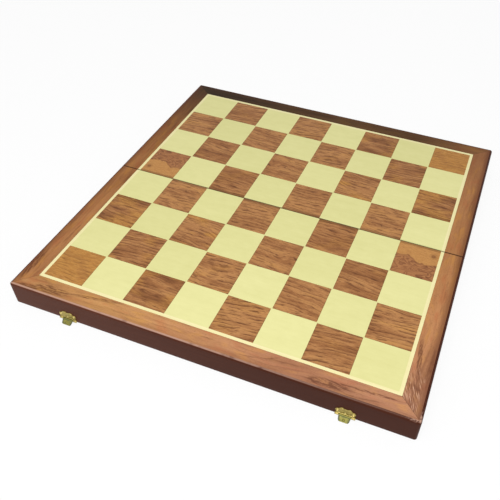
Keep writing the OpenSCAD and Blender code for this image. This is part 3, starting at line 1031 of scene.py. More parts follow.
BORDERS = {
    # Left strip: its stops darken towards the far end in painted shade.
    "left": BorderVeneer(
        "left_border_veneer",
        Axis.Y,
        21.0,
        (
            (-195.0, 186, 130, 84), (-100.0, 182, 126, 80), (0.0, 170, 116, 70),
            (90.0, 152, 102, 60), (150.0, 112, 74, 43), (195.0, 66, 46, 27),
        ),
        (
            Mark(-166.0, -190.5, 27.0, 4.6, 0.0, 1.0),
            Mark(-118.0, -181.5, 18.0, 1.5, 0.05, 0.6),
            Mark(-95.0, -191.0, 22.0, 1.4, 0.0, 0.4),
        ),
        streaks=0.55,
        burn=0.45,
    ),
    # Right strip: its far end is darker, partly painted shade.
    "right": BorderVeneer(
        "right_border_veneer",
        Axis.Y,
        37.0,
        (
            (-195.0, 192, 138, 108), (-110.0, 200, 142, 96), (0.0, 188, 132, 84),
            (110.0, 180, 126, 82), (195.0, 152, 102, 66),
        ),
        (
            Mark(-136.0, 181.2, 30.0, 2.6, -0.13, 1.0),
            Mark(-143.0, 192.0, 28.0, 2.2, 0.0, 0.55),
            Mark(-60.0, 187.5, 30.0, 1.2, -0.02, 0.35),
        ),
        streaks=0.4,
        curl=1.0,
        burn=0.6,
    ),
    "latch": BorderVeneer(
        "latch_border_veneer",
        Axis.X,
        43.0,
        (
            (-195.0, 190, 136, 88), (-100.0, 210, 156, 100), (-20.0, 206, 150, 104),
            (80.0, 188, 132, 98), (195.0, 202, 146, 112),
        ),
        (
            Mark(-154.0, -189.6, 25.0, 6.0, 0.03, 1.0),
            Mark(-177.0, -193.5, 14.0, 3.0, 0.0, 0.9),
            Mark(-110.0, -183.4, 32.0, 2.2, 0.15, 0.9),
            Mark(-84.0, -189.0, 18.0, 1.4, -0.03, 0.4),
            Mark(4.0, -185.0, 9.0, 0.9, 0.1, 0.5),
            Mark(46.0, -189.0, 14.0, 1.0, 0.15, 0.5),
            Mark(63.0, -184.5, 9.0, 0.9, 0.5, 0.7),
            Mark(117.0, -189.6, 25.0, 5.4, 0.06, 1.0),
            Mark(152.0, -184.8, 34.0, 1.4, 0.05, 1.0),
            Mark(150.0, -192.0, 20.0, 1.0, 0.12, 0.6),
        ),
    ),
    # Far strip: painted shade darkens its stops over the brown tone, most at the left end.
    "catch": BorderVeneer(
        "catch_border_veneer",
        Axis.X,
        52.0,
        (
            (-200.0, 50, 34, 17), (-90.0, 72, 50, 28), (20.0, 98, 69, 40), (110.0, 96, 66, 37),
            (200.0, 150, 104, 64),
        ),
        (
            Mark(-120.0, 186.0, 50.0, 3.0, 0.0, 0.6),
            Mark(60.0, 190.0, 60.0, 2.0, 0.0, 0.5),
        ),
    ),
}


class RailEnd(Enum):
    """How a rail ends."""

    MITRE = "mitre"
    SQUARE = "square"


@dataclass(frozen=True)
class Rail:
    """One moulded rail, first along X with its outer face on y = 0 and its start at the origin.

    Its profile is carried along the rail, and at a mitre half-way round the rounded corner.
    """

    node: str
    body: str
    finish: StainedRail
    length: float
    far_end: RailEnd
    placement: Matrix
    corner_stations: int = 9
    run_stations: int = 14

    def profile(self) -> np.ndarray:
        """The section: rim arc, outer face, lip arc, then the rabbets.

        Returns:
            Depth and height of each point.
        """
        high, inner = BOX.case_h, BOX.rail_t - BOX.rabbet_w - BOX.panel_fit
        seat = high - BOX.veneer_t
        face = np.linspace(BOX.rim_r, high - BOX.lip_w, 6)[1:-1]
        return np.concatenate(
            [
                [[BOX.rail_t, 0.0]],
                arc((BOX.rim_r, BOX.rim_r), BOX.rim_r, 270, 180, 7),
                np.stack([np.zeros_like(face), face], -1),
                arc((BOX.lip_w, high - BOX.lip_w), BOX.lip_w, 180, 90, 15),
                [[BOX.lip_w, seat], [inner, seat], [inner, seat - BOX.panel_t]],
                [[BOX.rail_t, seat - BOX.panel_t]],
            ]
        )

    def _mitre(self, depth: np.ndarray) -> np.ndarray:
        """Stations round half a corner.

        A point shallower than the corner radius turns about the corner's middle, from 45 degrees
        to square. A deeper one stays on the mitre line.

        Args:
            depth: Depth of each profile point.

        Returns:
            Places along and in from the face: stations by points by two.
        """
        angle = np.radians(np.linspace(45, 0, self.corner_stations))[:, None]
        radius = np.maximum(BOX.corner_r - depth, 0.0)
        base = np.maximum(depth, BOX.corner_r)
        return np.stack([base - radius * np.sin(angle), base - radius * np.cos(angle)], -1)

    def build(self) -> None:
        """Makes the rail, dresses it and puts it in the place of its CAD node."""
        depth, height = self.profile().T
        start = self._mitre(depth)
        if self.far_end is RailEnd.MITRE:
            end = start[::-1].copy()
            end[..., 0] = self.length - end[..., 0]
        else:
            end = np.stack([np.full((1, len(depth)), self.length), depth[None, :]], -1)
        first, last = start[-1:, :, 0], end[:1, :, 0]
        middle_x = first + (last - first) * np.linspace(0, 1, self.run_stations)[1:-1, None]
        middle = np.stack([middle_x, np.broadcast_to(depth, middle_x.shape)], -1)
        plan = np.concatenate([start, middle, end])
        level = np.broadcast_to(height, plan.shape[:2])[..., None]
        skin = Skin(f"{self.node}_moulded")
        skin.grid(np.concatenate([plan, level], -1), wrap_columns=True)
        made = skin.piece(self.placement, sharp=50.0)
        fit(made, self.finish, self.node, self.body)
        log.info("%s: rail %.1f mm long", made.name, self.length)


def affine(x_axis: Pair, y_axis: Pair, origin: Sequence[float]) -> Matrix:
    """Placement with the given level X and Y axes, Z up, and the given origin."""
    columns = ((*x_axis, 0, 0), (*y_axis, 0, 0), (0, 0, 1, 0), (*origin, 1))
    return Matrix(columns).transposed()


@dataclass(frozen=True)
class CaseHalf:
    """One half of the box: its rails, board, felt and veneers. Outer names its side strip."""

    body: str
    outer: str
    turned: bool

    def rails(self) -> list[Rail]:
        """The three moulded rails. The right and left swap names in the turned half.

        Returns:
            The rails.
        """
        width, depth, rim = BOX.half_w, BOX.half_d, BOX.rim_z
        turn = HALF_TURN if self.turned else Matrix.Identity(4)
        run = depth - BOX.seam_gap / 2
        left, right = ("right", "left") if self.turned else ("left", "right")
        at_outer = affine((1, 0), (0, 1), (-width, -depth, rim))
        at_left = affine((0, 1), (1, 0), (-width, -depth, rim))
        at_right = affine((0, 1), (-1, 0), (width, -depth, rim))
        plan = (
            (self.outer, RAIL_X, 2 * width, RailEnd.MITRE, at_outer),
            (left, RAIL_Y, run, RailEnd.SQUARE, at_left),
            (right, RAIL_Y, run, RailEnd.SQUARE, at_right),
        )
        return [
            Rail(f"{self.body}_{side}_rail", self.body, finish, length, end, turn @ place)
            for side, finish, length, end, place in plan
        ]

    def build(self) -> None:
        """Makes the rails and dresses the CAD pieces of this half."""
        for rail in self.rails():
            rail.build()
        finishes: dict[str, Finish] = {
            "hinge_rail": RAIL_X,
            "panel": PlainBoard(),
            "floor_felt": Felt(),
            "wall_felt": Felt(),
            "brown_squares": BrownSquares(),
            "light_field": PaleVeneer(),
            "stringing": STRINGING,
        }
        for side in ("left", "right", self.outer):
            finishes[f"{side}_border"] = BORDERS[side]
        for part, finish in finishes.items():
            finish.dress(cad(f"{self.body}_{part}"))
        log.info("%s: rails, board, felt and veneers dressed", self.body)


# ---------------------------------------------------------------- the latches


@dataclass(frozen=True)
class LatchSizes:
    """Sizes of a latch and its catch, in millimetres."""

    latch_w: float = 18.0
    plate_t: float = 0.7
    plate_body_h: float = 4.0
    shoulder_r: float = 2.0
    lobe_r: float = 2.9
    lobe_dip: float = 0.9
    waist_r: float = 1.1
    scroll_r: float = 0.3
    catch_w: float = 13.2
    pivot_h: float = 1.6
    knuckle_r: float = 0.9
    knuckle_case_gap: float = 0.1
    knuckle_plate_gap: float = 0.45
    knuckle_gap: float = 0.15
    knuckle_lap: float = 0.7
    end_l: float = 0.12
    end_draw: float = 0.1
    pin_r: float = 0.4
    pin_seat: float = 0.3
    head_sunk: float = 0.02
    head_h: float = 0.14
    head_lip: float = 0.1
    hasp_w: float = 11.0
    hasp_t: float = 0.6
    hasp_edge_r: float = 0.2
    tip_r: float = 1.8
    taper: float = 0.6
    bead_r: float = 0.4
    bead_h: float = 0.1
    hasp_land: float = 0.8
    cup_t: float = 0.35
    cup_blend: float = 0.2
    stud_h: float = 1.6
    stud_r: float = 0.45
    stud_foot: float = 0.1
    stud_sunk: float = 0.2
    stud_head_r: float = 0.6
    head_share: float = 0.995
    stud_fit: float = 0.25
    ring_r: float = 1.35
    table_gap: float = 0.1

    @property
    def pivot_out(self) -> float:
        """Distance of the hasp's pivot from the case."""
        return self.knuckle_r + self.knuckle_case_gap

    @property
    def plate_low(self) -> float:
        """Height of the plate's lower edge over the rim."""
        return self.pivot_h + self.knuckle_r + self.knuckle_plate_gap

    @property
    def hollow_r(self) -> float:
        """Radius of the hollow in the hasp's cup."""
        return self.stud_head_r + self.stud_fit

    @property
    def cup_r(self) -> float:
        """Outer radius of the hasp's cup."""
        return self.hollow_r + self.cup_t

    @property
    def cup_drop(self) -> float:
        """Distance of the cup's middle from the pivot."""
        return self.pivot_h + BOX.closed_gap + self.stud_h

    @property
    def hasp_len(self) -> float:
        """Length of the hasp from its pivot."""
        return self.cup_drop + self.cup_r + self.hasp_land

    @property
    def sheet_out(self) -> float:
        """Distance of the hasp's outer face from its pivot."""
        return 0.96 * self.knuckle_r

    @property
    def droop(self) -> float:
        """The resting hasp's angle below level, where its bead touches the table.

        Returns:
            The angle, in radians.
        """
        drop = self.hasp_len - self.bead_r
        middle = self.sheet_out - self.hasp_t / 2
        high = BOX.rim_z + self.pivot_h - self.bead_r - self.table_gap
        return math.asin(high / math.hypot(drop, middle)) + math.atan2(middle, drop)

    @property
    def stud_reach(self) -> float:
        """How far the middle of the stud's head stands out from the case."""
        return self.pivot_out + self.sheet_out - self.hasp_t


LATCH = LatchSizes()


def disc(x: Plane, z: Plane, mid_x: float, mid_z: float, radius: float) -> Plane:
    """Signed distance to a circle: distance to its middle less its radius."""
    return np.hypot(x - mid_x, z - mid_z) - radius


def slab(x: Plane, z: Plane, low: Pair, high: Pair) -> Plane:
    """Signed distance to an upright rectangle from its low to its high corner.

    Args:
        x: Places across.
        z: Places up.
        low: Its low corner.
        high: Its high corner.

    Returns:
        The distances, negative inside.
    """
    over_x = np.abs(x - (low[0] + high[0]) / 2) - (high[0] - low[0]) / 2
    over_z = np.abs(z - (low[1] + high[1]) / 2) - (high[1] - low[1]) / 2
    outside = np.hypot(np.maximum(over_x, 0), np.maximum(over_z, 0))
    return outside + np.minimum(np.maximum(over_x, over_z), 0)


def smooth(value: Plane, low: float, high: float) -> Plane:
    """Smooth step of an array from 0 at low to 1 at high."""
    share = np.clip((value - low) / (high - low), 0.0, 1.0)
    return share * share * (3 - 2 * share)


def ridge(gap: Plane, radius: float) -> Plane:
    """Height of a round wire over a sheet at a distance from its middle line, 0 to 1."""
    return np.sqrt(np.clip(1 - (gap / radius) ** 2, 0.0, 1.0))


def quarter(inside: Plane, radius: float) -> Plane:
    """How far a face falls off in a quarter circle, at a distance inside its outline."""
    step = radius - np.minimum(inside, radius)
    return radius - np.sqrt(radius**2 - step**2)


def edge_of(
    outline: Callable[[Plane, Plane], Plane], middle: Pair, angle: np.ndarray, radius: np.ndarray
) -> np.ndarray:
    """Radius at which each ray from a middle first leaves an outline, where that is above 0.

    Args:
        outline: Signed distance to the outline.
        middle: Where the rays start.
        angle: Their directions.
        radius: The radii that are tried.

    Returns:
        The radii.
    """
    x = middle[0] + np.cos(angle)[:, None] * radius
    z = middle[1] + np.sin(angle)[:, None] * radius
    return radius[np.argmax(outline(x, z) > 0, axis=1)]


@dataclass(frozen=True)
class Spiral:
    """A flat spiral whose radius grows from inner by pitch in each turn."""

    hand: float
    inner: float
    pitch: float
    turns: float

    def distance(self, x: Plane, z: Plane, middle: Pair) -> Plane:
        """Distance of points to the spiral about a middle.

        For a point at an angle and radius from the middle, the nearest coil is the one whose
        number of turns brings the spiral's radius closest to the point's.

        Args:
            x: Places across.
            z: Places up.
            middle: The spiral's middle.

        Returns:
            The distances.
        """
        dx, dz = (x - middle[0]) * self.hand, z - middle[1]
        share = (np.arctan2(dz, dx) / (2 * math.pi)) % 1.0
        coil = np.round((np.hypot(dx, dz) - self.inner) / self.pitch - share)
        wound = np.clip(share + coil, 0.0, self.turns)
        reach, angle = self.inner + self.pitch * wound, 2 * math.pi * wound
        return np.hypot(dx - reach * np.cos(angle), dz - reach * np.sin(angle))


class StampedPlate(ABC):
    """Sheet plate on the case: x across, z up from the rim, and its face towards -Y."""

    rays: int = 320
    rings: int = 46
    edge_r: float = 0.3
    furthest: float = 14.0
    tries: int = 2800

    @property
    @abstractmethod
    def middle(self) -> Pair:
        """Point that sees the whole outline."""

    @abstractmethod
    def outline(self, x: Plane, z: Plane) -> Plane:
        """Signed distance to the outline, negative inside."""

    @abstractmethod
    def relief(self, x: Plane, z: Plane) -> Plane:
        """Raised work, 0 on the sheet to 1 at its highest."""

    @abstractmethod
    def fittings(self, skin: Skin) -> None:
        """Adds what stands on the plate."""

    def skin(self, name: str) -> Skin:
        """The plate as a grid of rays and rings, and what stands on it.

        A ring's points lie at a share of each ray's reach, closer together near the edge. The
        face stands out by the sheet's thickness, falls off in a quarter circle at the outline,
        and carries the raised work. A last ring at the case closes the back.

        Args:
            name: Name of the piece.

        Returns:
            The skin.
        """
        angle = np.linspace(0, 2 * math.pi, self.rays, endpoint=False)
        share = 1 - (1 - np.linspace(0, 1, self.rings)) ** 1.5
        tried = np.linspace(0.05, self.furthest, self.tries)
        reach = edge_of(self.outline, self.middle, angle, tried)[:, None] * share
        x = self.middle[0] + reach * np.cos(angle)[:, None]
        z = self.middle[1] + reach * np.sin(angle)[:, None]
        inside = np.maximum(-self.outline(x, z), 0.0)
        raised = self.relief(x, z) * smooth(inside, 0.05, 0.35)
        out = LATCH.plate_t - quarter(inside, self.edge_r) + LATCH.scroll_r * raised
        front = np.stack([x, -out, z], -1)
        back = front[:, ::-1][:, [0, -1]].copy()
        back[..., 1] = 0.0
        # Painted highlight on the raised work and along the plate's edge.
        proud = np.clip(np.maximum(raised, 0.8 * (1 - smooth(inside, 0.3, 0.8))), 0, 1)
        proud = np.concatenate([proud, np.zeros((self.rays, 2))], 1)
        made = Skin(name)
        made.grid(np.concatenate([front, back], 1), proud, wrap_rows=True)
        self.fittings(made)
        return made


class LatchPlate(StampedPlate):
    """Scrolled plate over the hasp, with a rolled knuckle at each lower end."""

    @property
    def middle(self) -> Pair:
        """Point that sees the whole outline."""
        return 0.0, LATCH.plate_low + 0.75 * LATCH.plate_body_h

    @property
    def shoulder(self) -> Pair:
        """Middle of the right shoulder."""
        return LATCH.latch_w / 2 - LATCH.shoulder_r, LATCH.plate_low + LATCH.plate_body_h

    @property
    def lobe(self) -> Pair:
        """Middle of the right top lobe."""
        return LATCH.lobe_r + LATCH.scroll_r, self.shoulder[1] + LATCH.lobe_r / 2

    def outline(self, x: Plane, z: Plane) -> Plane:
        """Body, shoulders and lobes joined, less the waists at the sides.

        Args:
            x: Places across.
            z: Places up from the rim.

        Returns:
            The signed distances to the outline.
        """
        side, low, lobe = np.abs(x), LATCH.plate_low, self.lobe
        body_x = LATCH.latch_w / 2 - 0.4 * LATCH.shoulder_r
        top = lobe[1] + LATCH.lobe_r - LATCH.lobe_dip
        joined = slab(side, z, (-body_x, low), (body_x, low + LATCH.plate_body_h))
        joined = np.minimum(joined, disc(side, z, *self.shoulder, LATCH.shoulder_r))
        joined = np.minimum(joined, disc(side, z, *lobe, LATCH.lobe_r))
        neck = slab(side, z, (-lobe[0], self.shoulder[1] - LATCH.scroll_r), (lobe[0], top))
        waist = disc(side, z, LATCH.latch_w / 2, low + LATCH.waist_r, LATCH.waist_r)
        return np.maximum(np.minimum(joined, neck), -waist)

    def relief(self, x: Plane, z: Plane) -> Plane:
        """Scrolls on the shoulders and lobes, a bead along the foot and a small fan above it.

        Args:
            x: Places across.
            z: Places up from the rim.

        Returns:
            The heights, 0 to 1.
        """
        side, wire, low = np.abs(x), LATCH.scroll_r, LATCH.plate_low
        curl = Spiral(1.0, 1.2, 0.3, 1.1).distance(side, z, self.shoulder)
        lobe = Spiral(-1.0, 0.5, 0.95, 1.9).distance(side, z, self.lobe)
        foot = np.abs(z - (low + 1.5 * wire))
        height = np.maximum(ridge(curl, wire * 1.3), ridge(lobe, wire * 1.4))
        height = np.maximum(height, ridge(foot, wire) * (side < LATCH.latch_w / 2 - wire))
        fan = np.cos(np.arctan2(x, z - low + 2.5) * 22.0) * 0.5 + 0.5
        zone = smooth(z, low + 0.9, low + 1.4)
        zone = zone * smooth(z, self.shoulder[1] + 0.6, self.shoulder[1] - 0.4)
        zone = zone * smooth(side, 5.4, 4.4) * smooth(disc(x, z, 0, low + 2, 0.95), 0, 0.3)
        return np.maximum(height, 0.6 * fan * zone)

    def fittings(self, skin: Skin) -> None:
        """Adds the rolled end knuckles.

        Their profile leaves the plate's face, turns in a small hollow onto the knuckle's circle,
        goes round it and returns up the case. It is carried along X, drawn in at both ends.

        Args:
            skin: The plate's skin.
        """
        out, up, radius = -LATCH.pivot_out, LATCH.pivot_h, LATCH.knuckle_r
        hollow = -out - LATCH.plate_t
        top = LATCH.plate_low + 1.5 * LATCH.scroll_r
        profile = np.concatenate(
            [
                [[0.0, top], [-LATCH.plate_t, top]],
                arc((out, up + radius + hollow), hollow, 0, -90, 6),
                arc((out, up), radius, 90, 360, 28),
                [[0.0, up + LATCH.knuckle_lap]],
            ]
        )
        start, end = LATCH.hasp_w / 2 + LATCH.knuckle_gap, LATCH.latch_w / 2
        stations = np.array([start, start + LATCH.end_l, end - LATCH.end_l, end])
        shrink = np.array([LATCH.end_draw, 0.0, 0.0, LATCH.end_draw])
        away = profile - profile.mean(0)
        drawn = away / np.linalg.norm(away, axis=1, keepdims=True)
        ring = profile - drawn * shrink[:, None, None]
        for hand in (1.0, -1.0):
            x = np.broadcast_to((hand * stations)[:, None], ring.shape[:2])
            # The knuckles get a painted highlight.
            skin.grid(np.concatenate([x[..., None], ring], -1), 0.9, wrap_columns=True)


class CatchPlate(StampedPlate):
    """Plate of the catch, with a lobe at each nail and one between them."""

    rays = 240
    rings = 34

    @property
    def nail(self) -> Pair:
        """Place of the right nail."""
        return LATCH.catch_w / 2 - LATCH.shoulder_r, LATCH.stud_h + LATCH.plate_body_h

    @property
    def middle(self) -> Pair:
        """Point that sees the whole outline."""
        return 0.0, LATCH.stud_h + 0.6 * LATCH.plate_body_h

    def outline(self, x: Plane, z: Plane) -> Plane:
        """Body with its three lobes.

        Args:
            x: Places across.
            z: Places up from the rim.

        Returns:
            The signed distances to the outline.
        """
        side, half = np.abs(x), LATCH.catch_w / 2
        joined = slab(side, z, (-half, BOX.rim_r / 2), (half, self.nail[1]))
        joined = np.minimum(joined, disc(side, z, *self.nail, LATCH.shoulder_r))
        return np.minimum(joined, disc(side, z, 0.0, self.nail[1], LATCH.lobe_r))

    def relief(self, x: Plane, z: Plane) -> Plane:
        """A ring round each nail and the stud, and a line inside the edge.

        Args:
            x: Places across.
            z: Places up from the rim.

        Returns:
            The heights, 0 to 1.
        """
        side, wire = np.abs(x), LATCH.scroll_r
        rings = np.abs(disc(side, z, *self.nail, LATCH.shoulder_r - 2 * wire))
        rings = np.minimum(rings, np.abs(disc(side, z, 0.0, LATCH.stud_h, LATCH.ring_r)))
        edge = np.abs(self.outline(x, z) + 0.55)
        return np.maximum(0.5 * ridge(rings, wire), 0.4 * ridge(edge, wire))

    def fittings(self, skin: Skin) -> None:
        """Adds the stud: a profile of its neck and round head, turned about its own axis.

        Args:
            skin: The plate's skin.
        """
        neck, head, low = LATCH.stud_r, LATCH.stud_head_r, LATCH.plate_t - LATCH.stud_sunk
        meet = math.degrees(math.asin(neck / head))
        foot = LATCH.stud_foot
        profile = np.concatenate(
            [
                [[0.0, low], [neck + foot, low]],
                arc((neck + foot, LATCH.plate_t + foot), foot, 270, 180, 5),
                arc((0.0, LATCH.stud_reach), LATCH.head_share * head, meet - 90, 90, 18),
            ]
        )
        x, up = turned(profile[:, 0], 40)
        y = np.broadcast_to(-profile[:, 1], x.shape)
        # The stud gets a painted highlight.
        skin.grid(np.stack([x, y, LATCH.stud_h + up], -1), 0.9, wrap_rows=True)


class Hasp:
    """The hasp hanging from its pivot at the origin, with its outer face at -Y."""

    rays: int = 240
    cup_rings: int = 18
    sheet_rings: int = 17
    furthest: float = 8.0
    tries: int = 1400

    @staticmethod
    def outline(x: Plane, z: Plane) -> Plane:
        """Signed distance to the sheet's outline, as the largest or smallest of simple ones.

        Inside is above the tip, below the pivot and within the leaning sides; the two corners
        are circles that the sides and the tip touch.

        Args:
            x: Places across.
            z: Places up from the pivot.

        Returns:
            The distances, negative inside.
        """
        half, radius, side = LATCH.hasp_w / 2, LATCH.tip_r, np.abs(x)
        mid_x, mid_z = half - LATCH.taper - radius, radius - LATCH.hasp_len
        lean = math.acos(radius / math.hypot(half - mid_x, mid_z))
        lean -= math.atan2(-mid_z, half - mid_x)
        lean_side = (side - half) * math.cos(lean) - z * math.sin(lean)
        straight = np.maximum(np.maximum(lean_side, z), -LATCH.hasp_len - z)
        past_x = (side - mid_x) * math.sin(lean) + (z - mid_z) * math.cos(lean)
        at_corner = (side > mid_x) & (past_x < 0)
        return np.where(at_corner, disc(side, z, mid_x, mid_z, radius), straight)

    def skin(self, name: str) -> Skin:
        """The sheet, the cup, the bead and the knuckle.

        The sheet is a grid of rays from the cup's middle. Its rings go from the middle of the
        outer face to the outline and back on the inner face. The cup is a sphere's cap on the
        outer face and a smaller hollow sphere on the inner one. A low bead runs along the tip,
        and the knuckle is a round bar across the top.

        Args:
            name: Name of the piece.

        Returns:
            The skin.
        """
        half, drop = LATCH.hasp_w / 2, -LATCH.cup_drop
        sheet, inner, blend_w = LATCH.sheet_out, LATCH.sheet_out - LATCH.hasp_t, LATCH.cup_blend
        angle = np.linspace(0, 2 * math.pi, self.rays, endpoint=False)
        tried = np.linspace(LATCH.cup_r, self.furthest, self.tries)
        edge = edge_of(self.outline, (0.0, drop), angle, tried)[:, None]
        near = np.linspace(0.0, 1.25 * LATCH.cup_r, self.cup_rings)
        near = np.broadcast_to(near, (self.rays, self.cup_rings))
        past, share = near[:, -1:], np.linspace(0, 1, self.sheet_rings)[1:]
        ring = np.concatenate([near, past + (np.maximum(edge, past + 0.3) - past) * share], 1)
        x, z = ring * np.cos(angle)[:, None], drop + ring * np.sin(angle)[:, None]
        inside = np.maximum(-self.outline(x, z), 0.0)
        fall = quarter(inside, LATCH.hasp_edge_r)
        cup = np.sqrt(np.maximum(LATCH.cup_r**2 - ring**2, 0.0)) + inner
        blend = np.clip(0.5 + 0.5 * (cup - sheet) / blend_w, 0, 1)
        outer = sheet + (cup - sheet) * blend - blend_w * blend * (blend - 1)
        tip_x = half - LATCH.taper - LATCH.tip_r
        bead = ridge(z + LATCH.hasp_len - LATCH.bead_r, LATCH.bead_r)
        bead = bead * smooth(np.abs(x), tip_x + 1.2, tip_x)
        hollow = np.sqrt(np.maximum(LATCH.hollow_r**2 - ring**2, 0.0)) + inner
        front = np.stack([x, -(outer - fall + LATCH.bead_h * bead), z], -1)
        back = np.stack([x, -(hollow + fall), z], -1)[:, ::-1]
        # Painted highlights on the cup and the bead, duller towards the edges.
        proud = np.maximum(smooth(blend, 0.2, 1.0), 0.8 * bead)
        proud = np.maximum(proud, 0.45 * smooth(inside, 0.2, 1.6))
        proud = np.concatenate([proud, np.full(proud.shape, 0.2)], 1)
        made = Skin(name)
        made.grid(np.concatenate([front, back], 1), proud, wrap_rows=True)

        bar_r, ease = LATCH.knuckle_r, LATCH.end_l
        stations = np.array([-half, ease - half, half - ease, half])
        y, up = turned(np.array([bar_r - ease, bar_r, bar_r, bar_r - ease]), 36)
        along = np.broadcast_to(stations, y.shape)
        bar = np.stack([along, y, up], -1).swapaxes(0, 1)
        # The knuckle bar gets a painted highlight.
        made.grid(bar, 0.6, wrap_columns=True)
        return made


def pin_skin(name: str) -> Skin:
    """The hasp's pin: a rod through the knuckles with a low round head at each end.

    Args:
        name: Name of the piece.

    Returns:
        The skin.
    """
    half, radius = LATCH.latch_w / 2, LATCH.pin_r
    angle = np.radians(np.linspace(0, 90, 6))
    bulge = [LATCH.head_h * np.cos(angle), (radius + LATCH.head_lip) * np.sin(angle)]
    face = half - LATCH.head_sunk
    head = np.stack(bulge, -1)[::-1] + [face, 0.0]
    right = np.concatenate([[[half - LATCH.pin_seat, radius], [face, radius]], head])
    profile = np.concatenate([right[::-1] * [-1.0, 1.0], right])
    y, z = turned(profile[:, 1], 28)
    x = np.broadcast_to(profile[:, 0], y.shape)
    made = Skin(name)
    made.grid(np.stack([x, y, z], -1), 0.8, wrap_rows=True)
    return made


@dataclass(frozen=True)
class Latch:
    """One latch on the lid and its catch on the base."""

    side: str

    def build(self) -> None:
        """Makes the plate, hasp, pin and catch of this side."""
        across = BOX.latch_x if self.side == "right" else -BOX.latch_x
        place = Matrix.Translation((across, -BOX.half_d, BOX.rim_z))
        pivot = place @ Matrix.Translation((0.0, -LATCH.pivot_out, LATCH.pivot_h))
        lean = Matrix.Rotation(LATCH.droop - math.pi / 2, 4, "X")
        behind = HALF_TURN @ Matrix.Translation((-across, -BOX.half_d, BOX.rim_z))
        hasp = f"{self.side}_hasp"
        plan = (
            ("latch_plate", "scrolled", LatchPlate().skin, place, STAMPED_BRASS, "lid"),
            ("hasp", "rolled", Hasp().skin, pivot @ lean, SHADED_HASP_BRASS, hasp),
            ("hasp_pin", "headed", pin_skin, pivot, TURNED_BRASS, "lid"),
            ("catch_plate", "lobed", CatchPlate().skin, behind, STAMPED_BRASS, "base"),
        )
        for part, kind, skin, move, finish, body in plan:
            node = f"{self.side}_{part}"
            fit(skin(f"{node}_{kind}").piece(move), finish, node, body)
            log.info("%s: %s piece made", node, kind)


@dataclass(frozen=True)
class Fittings:
    """Hinges, screws and nails, which keep their CAD meshes."""

    turned: tuple[str, ...] = (
        "left_hinge_pin",
        "right_hinge_pin",
        "hinge_lid_screws",
        "hinge_base_screws",
        "latch_nails",
        "catch_nails",
    )

    def build(self) -> None:
        """Dresses the fittings."""
        for side in ("left", "right"):
            HINGE_BRASS.dress(*(cad(f"{side}_hinge_{half}_leaf") for half in ("lid", "base")))
        TURNED_BRASS.dress(*map(cad, self.turned))
        log.info("fittings: hinge leaves and %d turned pieces dressed", len(self.turned))


# ---------------------------------------------------------------- studio


@dataclass(frozen=True)
class StudioFloor(Finish):
    """White floor that keeps a faint shadow, is clear from below and lets the room's light by."""

    name: str = "studio_floor"
    shadow: float = 0.1

    def write(self, pen: Pen) -> None:
        """Writes the nodes: a part of what the camera sees is lit floor, and the rest is clear.

        Args:
            pen: The tree.
        """
        path = pen.node("ShaderNodeLightPath")
        side = pen.node("ShaderNodeNewGeometry")
        share = 1.0 - pen.out(path, "Is Camera Ray") * self.shadow
        share = share.at_least(pen.out(side, "Backfacing"))
        lit = pen.node("ShaderNodeBsdfDiffuse", None, {"Color": WHITE})
        clear = pen.node("ShaderNodeBsdfTransparent")
        sockets = {0: share, 1: lit.outputs[0], 2: clear.outputs[0]}
        both = pen.node("ShaderNodeMixShader", None, sockets)
        pen.node("ShaderNodeOutputMaterial", None, {"Surface": both.outputs[0]})


@dataclass(frozen=True)
class Lamp:
    """One large soft square lamp that faces the origin: place and size in metres."""

    name: str
    place: tuple[float, float, float]
    size: float
    watts: float

    def build(self) -> None:
        """Adds the lamp."""
        data = bpy.data.lights.new(self.name, "AREA")
        data.shape, data.size, data.energy = "SQUARE", self.size, self.watts
        lamp = bpy.data.objects.new(self.name, data)
        lamp.location = self.place
        lamp.rotation_euler = (-Vector(self.place)).to_track_quat("-Z", "Y").to_euler()
        bpy.context.scene.collection.objects.link(lamp)


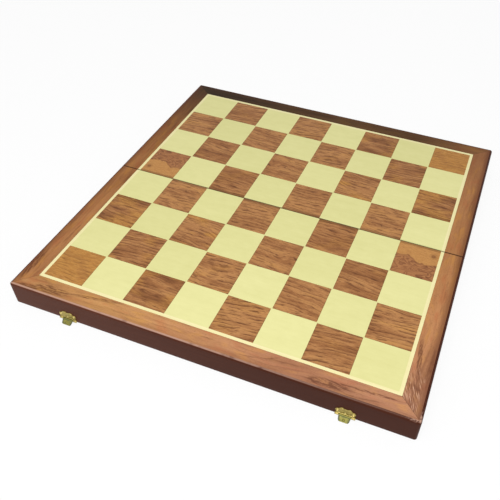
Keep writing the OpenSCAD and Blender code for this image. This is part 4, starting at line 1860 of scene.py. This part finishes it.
@dataclass(frozen=True)
class Studio:
    """Camera, lamps, world and floor. The camera's place is in millimetres, its angles degrees."""

    photo_px: float = 500.0
    film_mm: float = 36.0
    focal_px: float = 615.1
    centre_px: Pair = (286.8, 250.54)
    position: tuple[float, float, float] = (179.51, -466.69, 459.74)
    azimuth: float = -20.2
    depression: float = 44.77
    roll: float = 1.52
    ambient: float = 0.52
    mirrored: float = 0.85
    floor_half_m: float = 4.0
    lamps: tuple[Lamp, ...] = (
        Lamp("key", (0.12, -0.52, 0.86), 0.6, 5.0),
        Lamp("front_right", (0.75, -1.0, 0.8), 0.35, 1.5),
        Lamp("front_left", (-0.6, -1.0, 0.9), 0.35, 1.2),
    )

    def camera(self) -> None:
        """Makes the camera from its place, its two angles and its roll."""
        az, el, roll = (math.radians(v) for v in (self.azimuth, self.depression, self.roll))
        ahead = Vector((math.sin(az) * math.cos(el), math.cos(az) * math.cos(el), -math.sin(el)))
        level = ahead.cross(Vector((0.0, 0.0, 1.0))).normalized()
        above = level.cross(ahead)
        right = level * math.cos(roll) + above * math.sin(roll)
        up = above * math.cos(roll) - level * math.sin(roll)
        data = bpy.data.cameras.new("camera")
        data.sensor_width = self.film_mm
        data.lens = self.focal_px * self.film_mm / self.photo_px
        data.shift_x = (self.photo_px / 2 - self.centre_px[0]) / self.photo_px
        data.shift_y = (self.centre_px[1] - self.photo_px / 2) / self.photo_px
        data.clip_start, data.clip_end = 0.01, 50.0
        camera = bpy.data.objects.new("camera", data)
        axes = Matrix((right, up, -ahead)).transposed().to_4x4()
        camera.matrix_world = Matrix.Translation(Vector(self.position) * MM) @ axes
        bpy.context.scene.collection.objects.link(camera)
        bpy.context.scene.camera = camera

    def world(self) -> None:
        """White to the camera and in reflections, and a plain ambient level for the rest."""
        world = bpy.data.worlds.new("studio")
        world.use_nodes = True
        bpy.context.scene.world = world
        pen = Pen(world.node_tree)
        path = pen.node("ShaderNodeLightPath")
        seen = pen.out(path, "Is Camera Ray").at_least(pen.out(path, "Is Transmission Ray"))
        level = seen * (1.0 - self.ambient) + self.ambient
        level = level + pen.out(path, "Is Glossy Ray") * (self.mirrored - self.ambient)
        light = pen.node("ShaderNodeBackground", None, {"Color": WHITE, "Strength": level})
        pen.node("ShaderNodeOutputWorld", None, {"Surface": light.outputs[0]})

    def floor(self) -> None:
        """A wide plain floor at z = 0."""
        mesh = bpy.data.meshes.new("floor")
        corners = [(-1, -1), (1, -1), (1, 1), (-1, 1)]
        points = [(x * self.floor_half_m, y * self.floor_half_m, 0.0) for x, y in corners]
        mesh.from_pydata(points, [], [(0, 1, 2, 3)])
        floor = bpy.data.objects.new("floor", mesh)
        bpy.context.scene.collection.objects.link(floor)
        StudioFloor().dress(floor)

    def build(self) -> None:
        """Sets up the camera, the light and the floor."""
        bpy.context.scene.view_settings.view_transform = "Standard"
        self.camera()
        self.world()
        for lamp in self.lamps:
            lamp.build()
        self.floor()
        log.info("studio: camera, lamps, world and floor set")


# ---------------------------------------------------------------- making it


def main() -> None:
    """Builds the studio, the two halves, the latches and the fittings, in that order."""
    logging.basicConfig(level=logging.INFO, format="%(name)s %(message)s")
    Studio().build()
    CaseHalf("lid", "latch", turned=False).build()
    CaseHalf("base", "catch", turned=True).build()
    for side in ("left", "right"):
        Latch(side).build()
    Fittings().build()


if __name__ == "__main__":
    main()
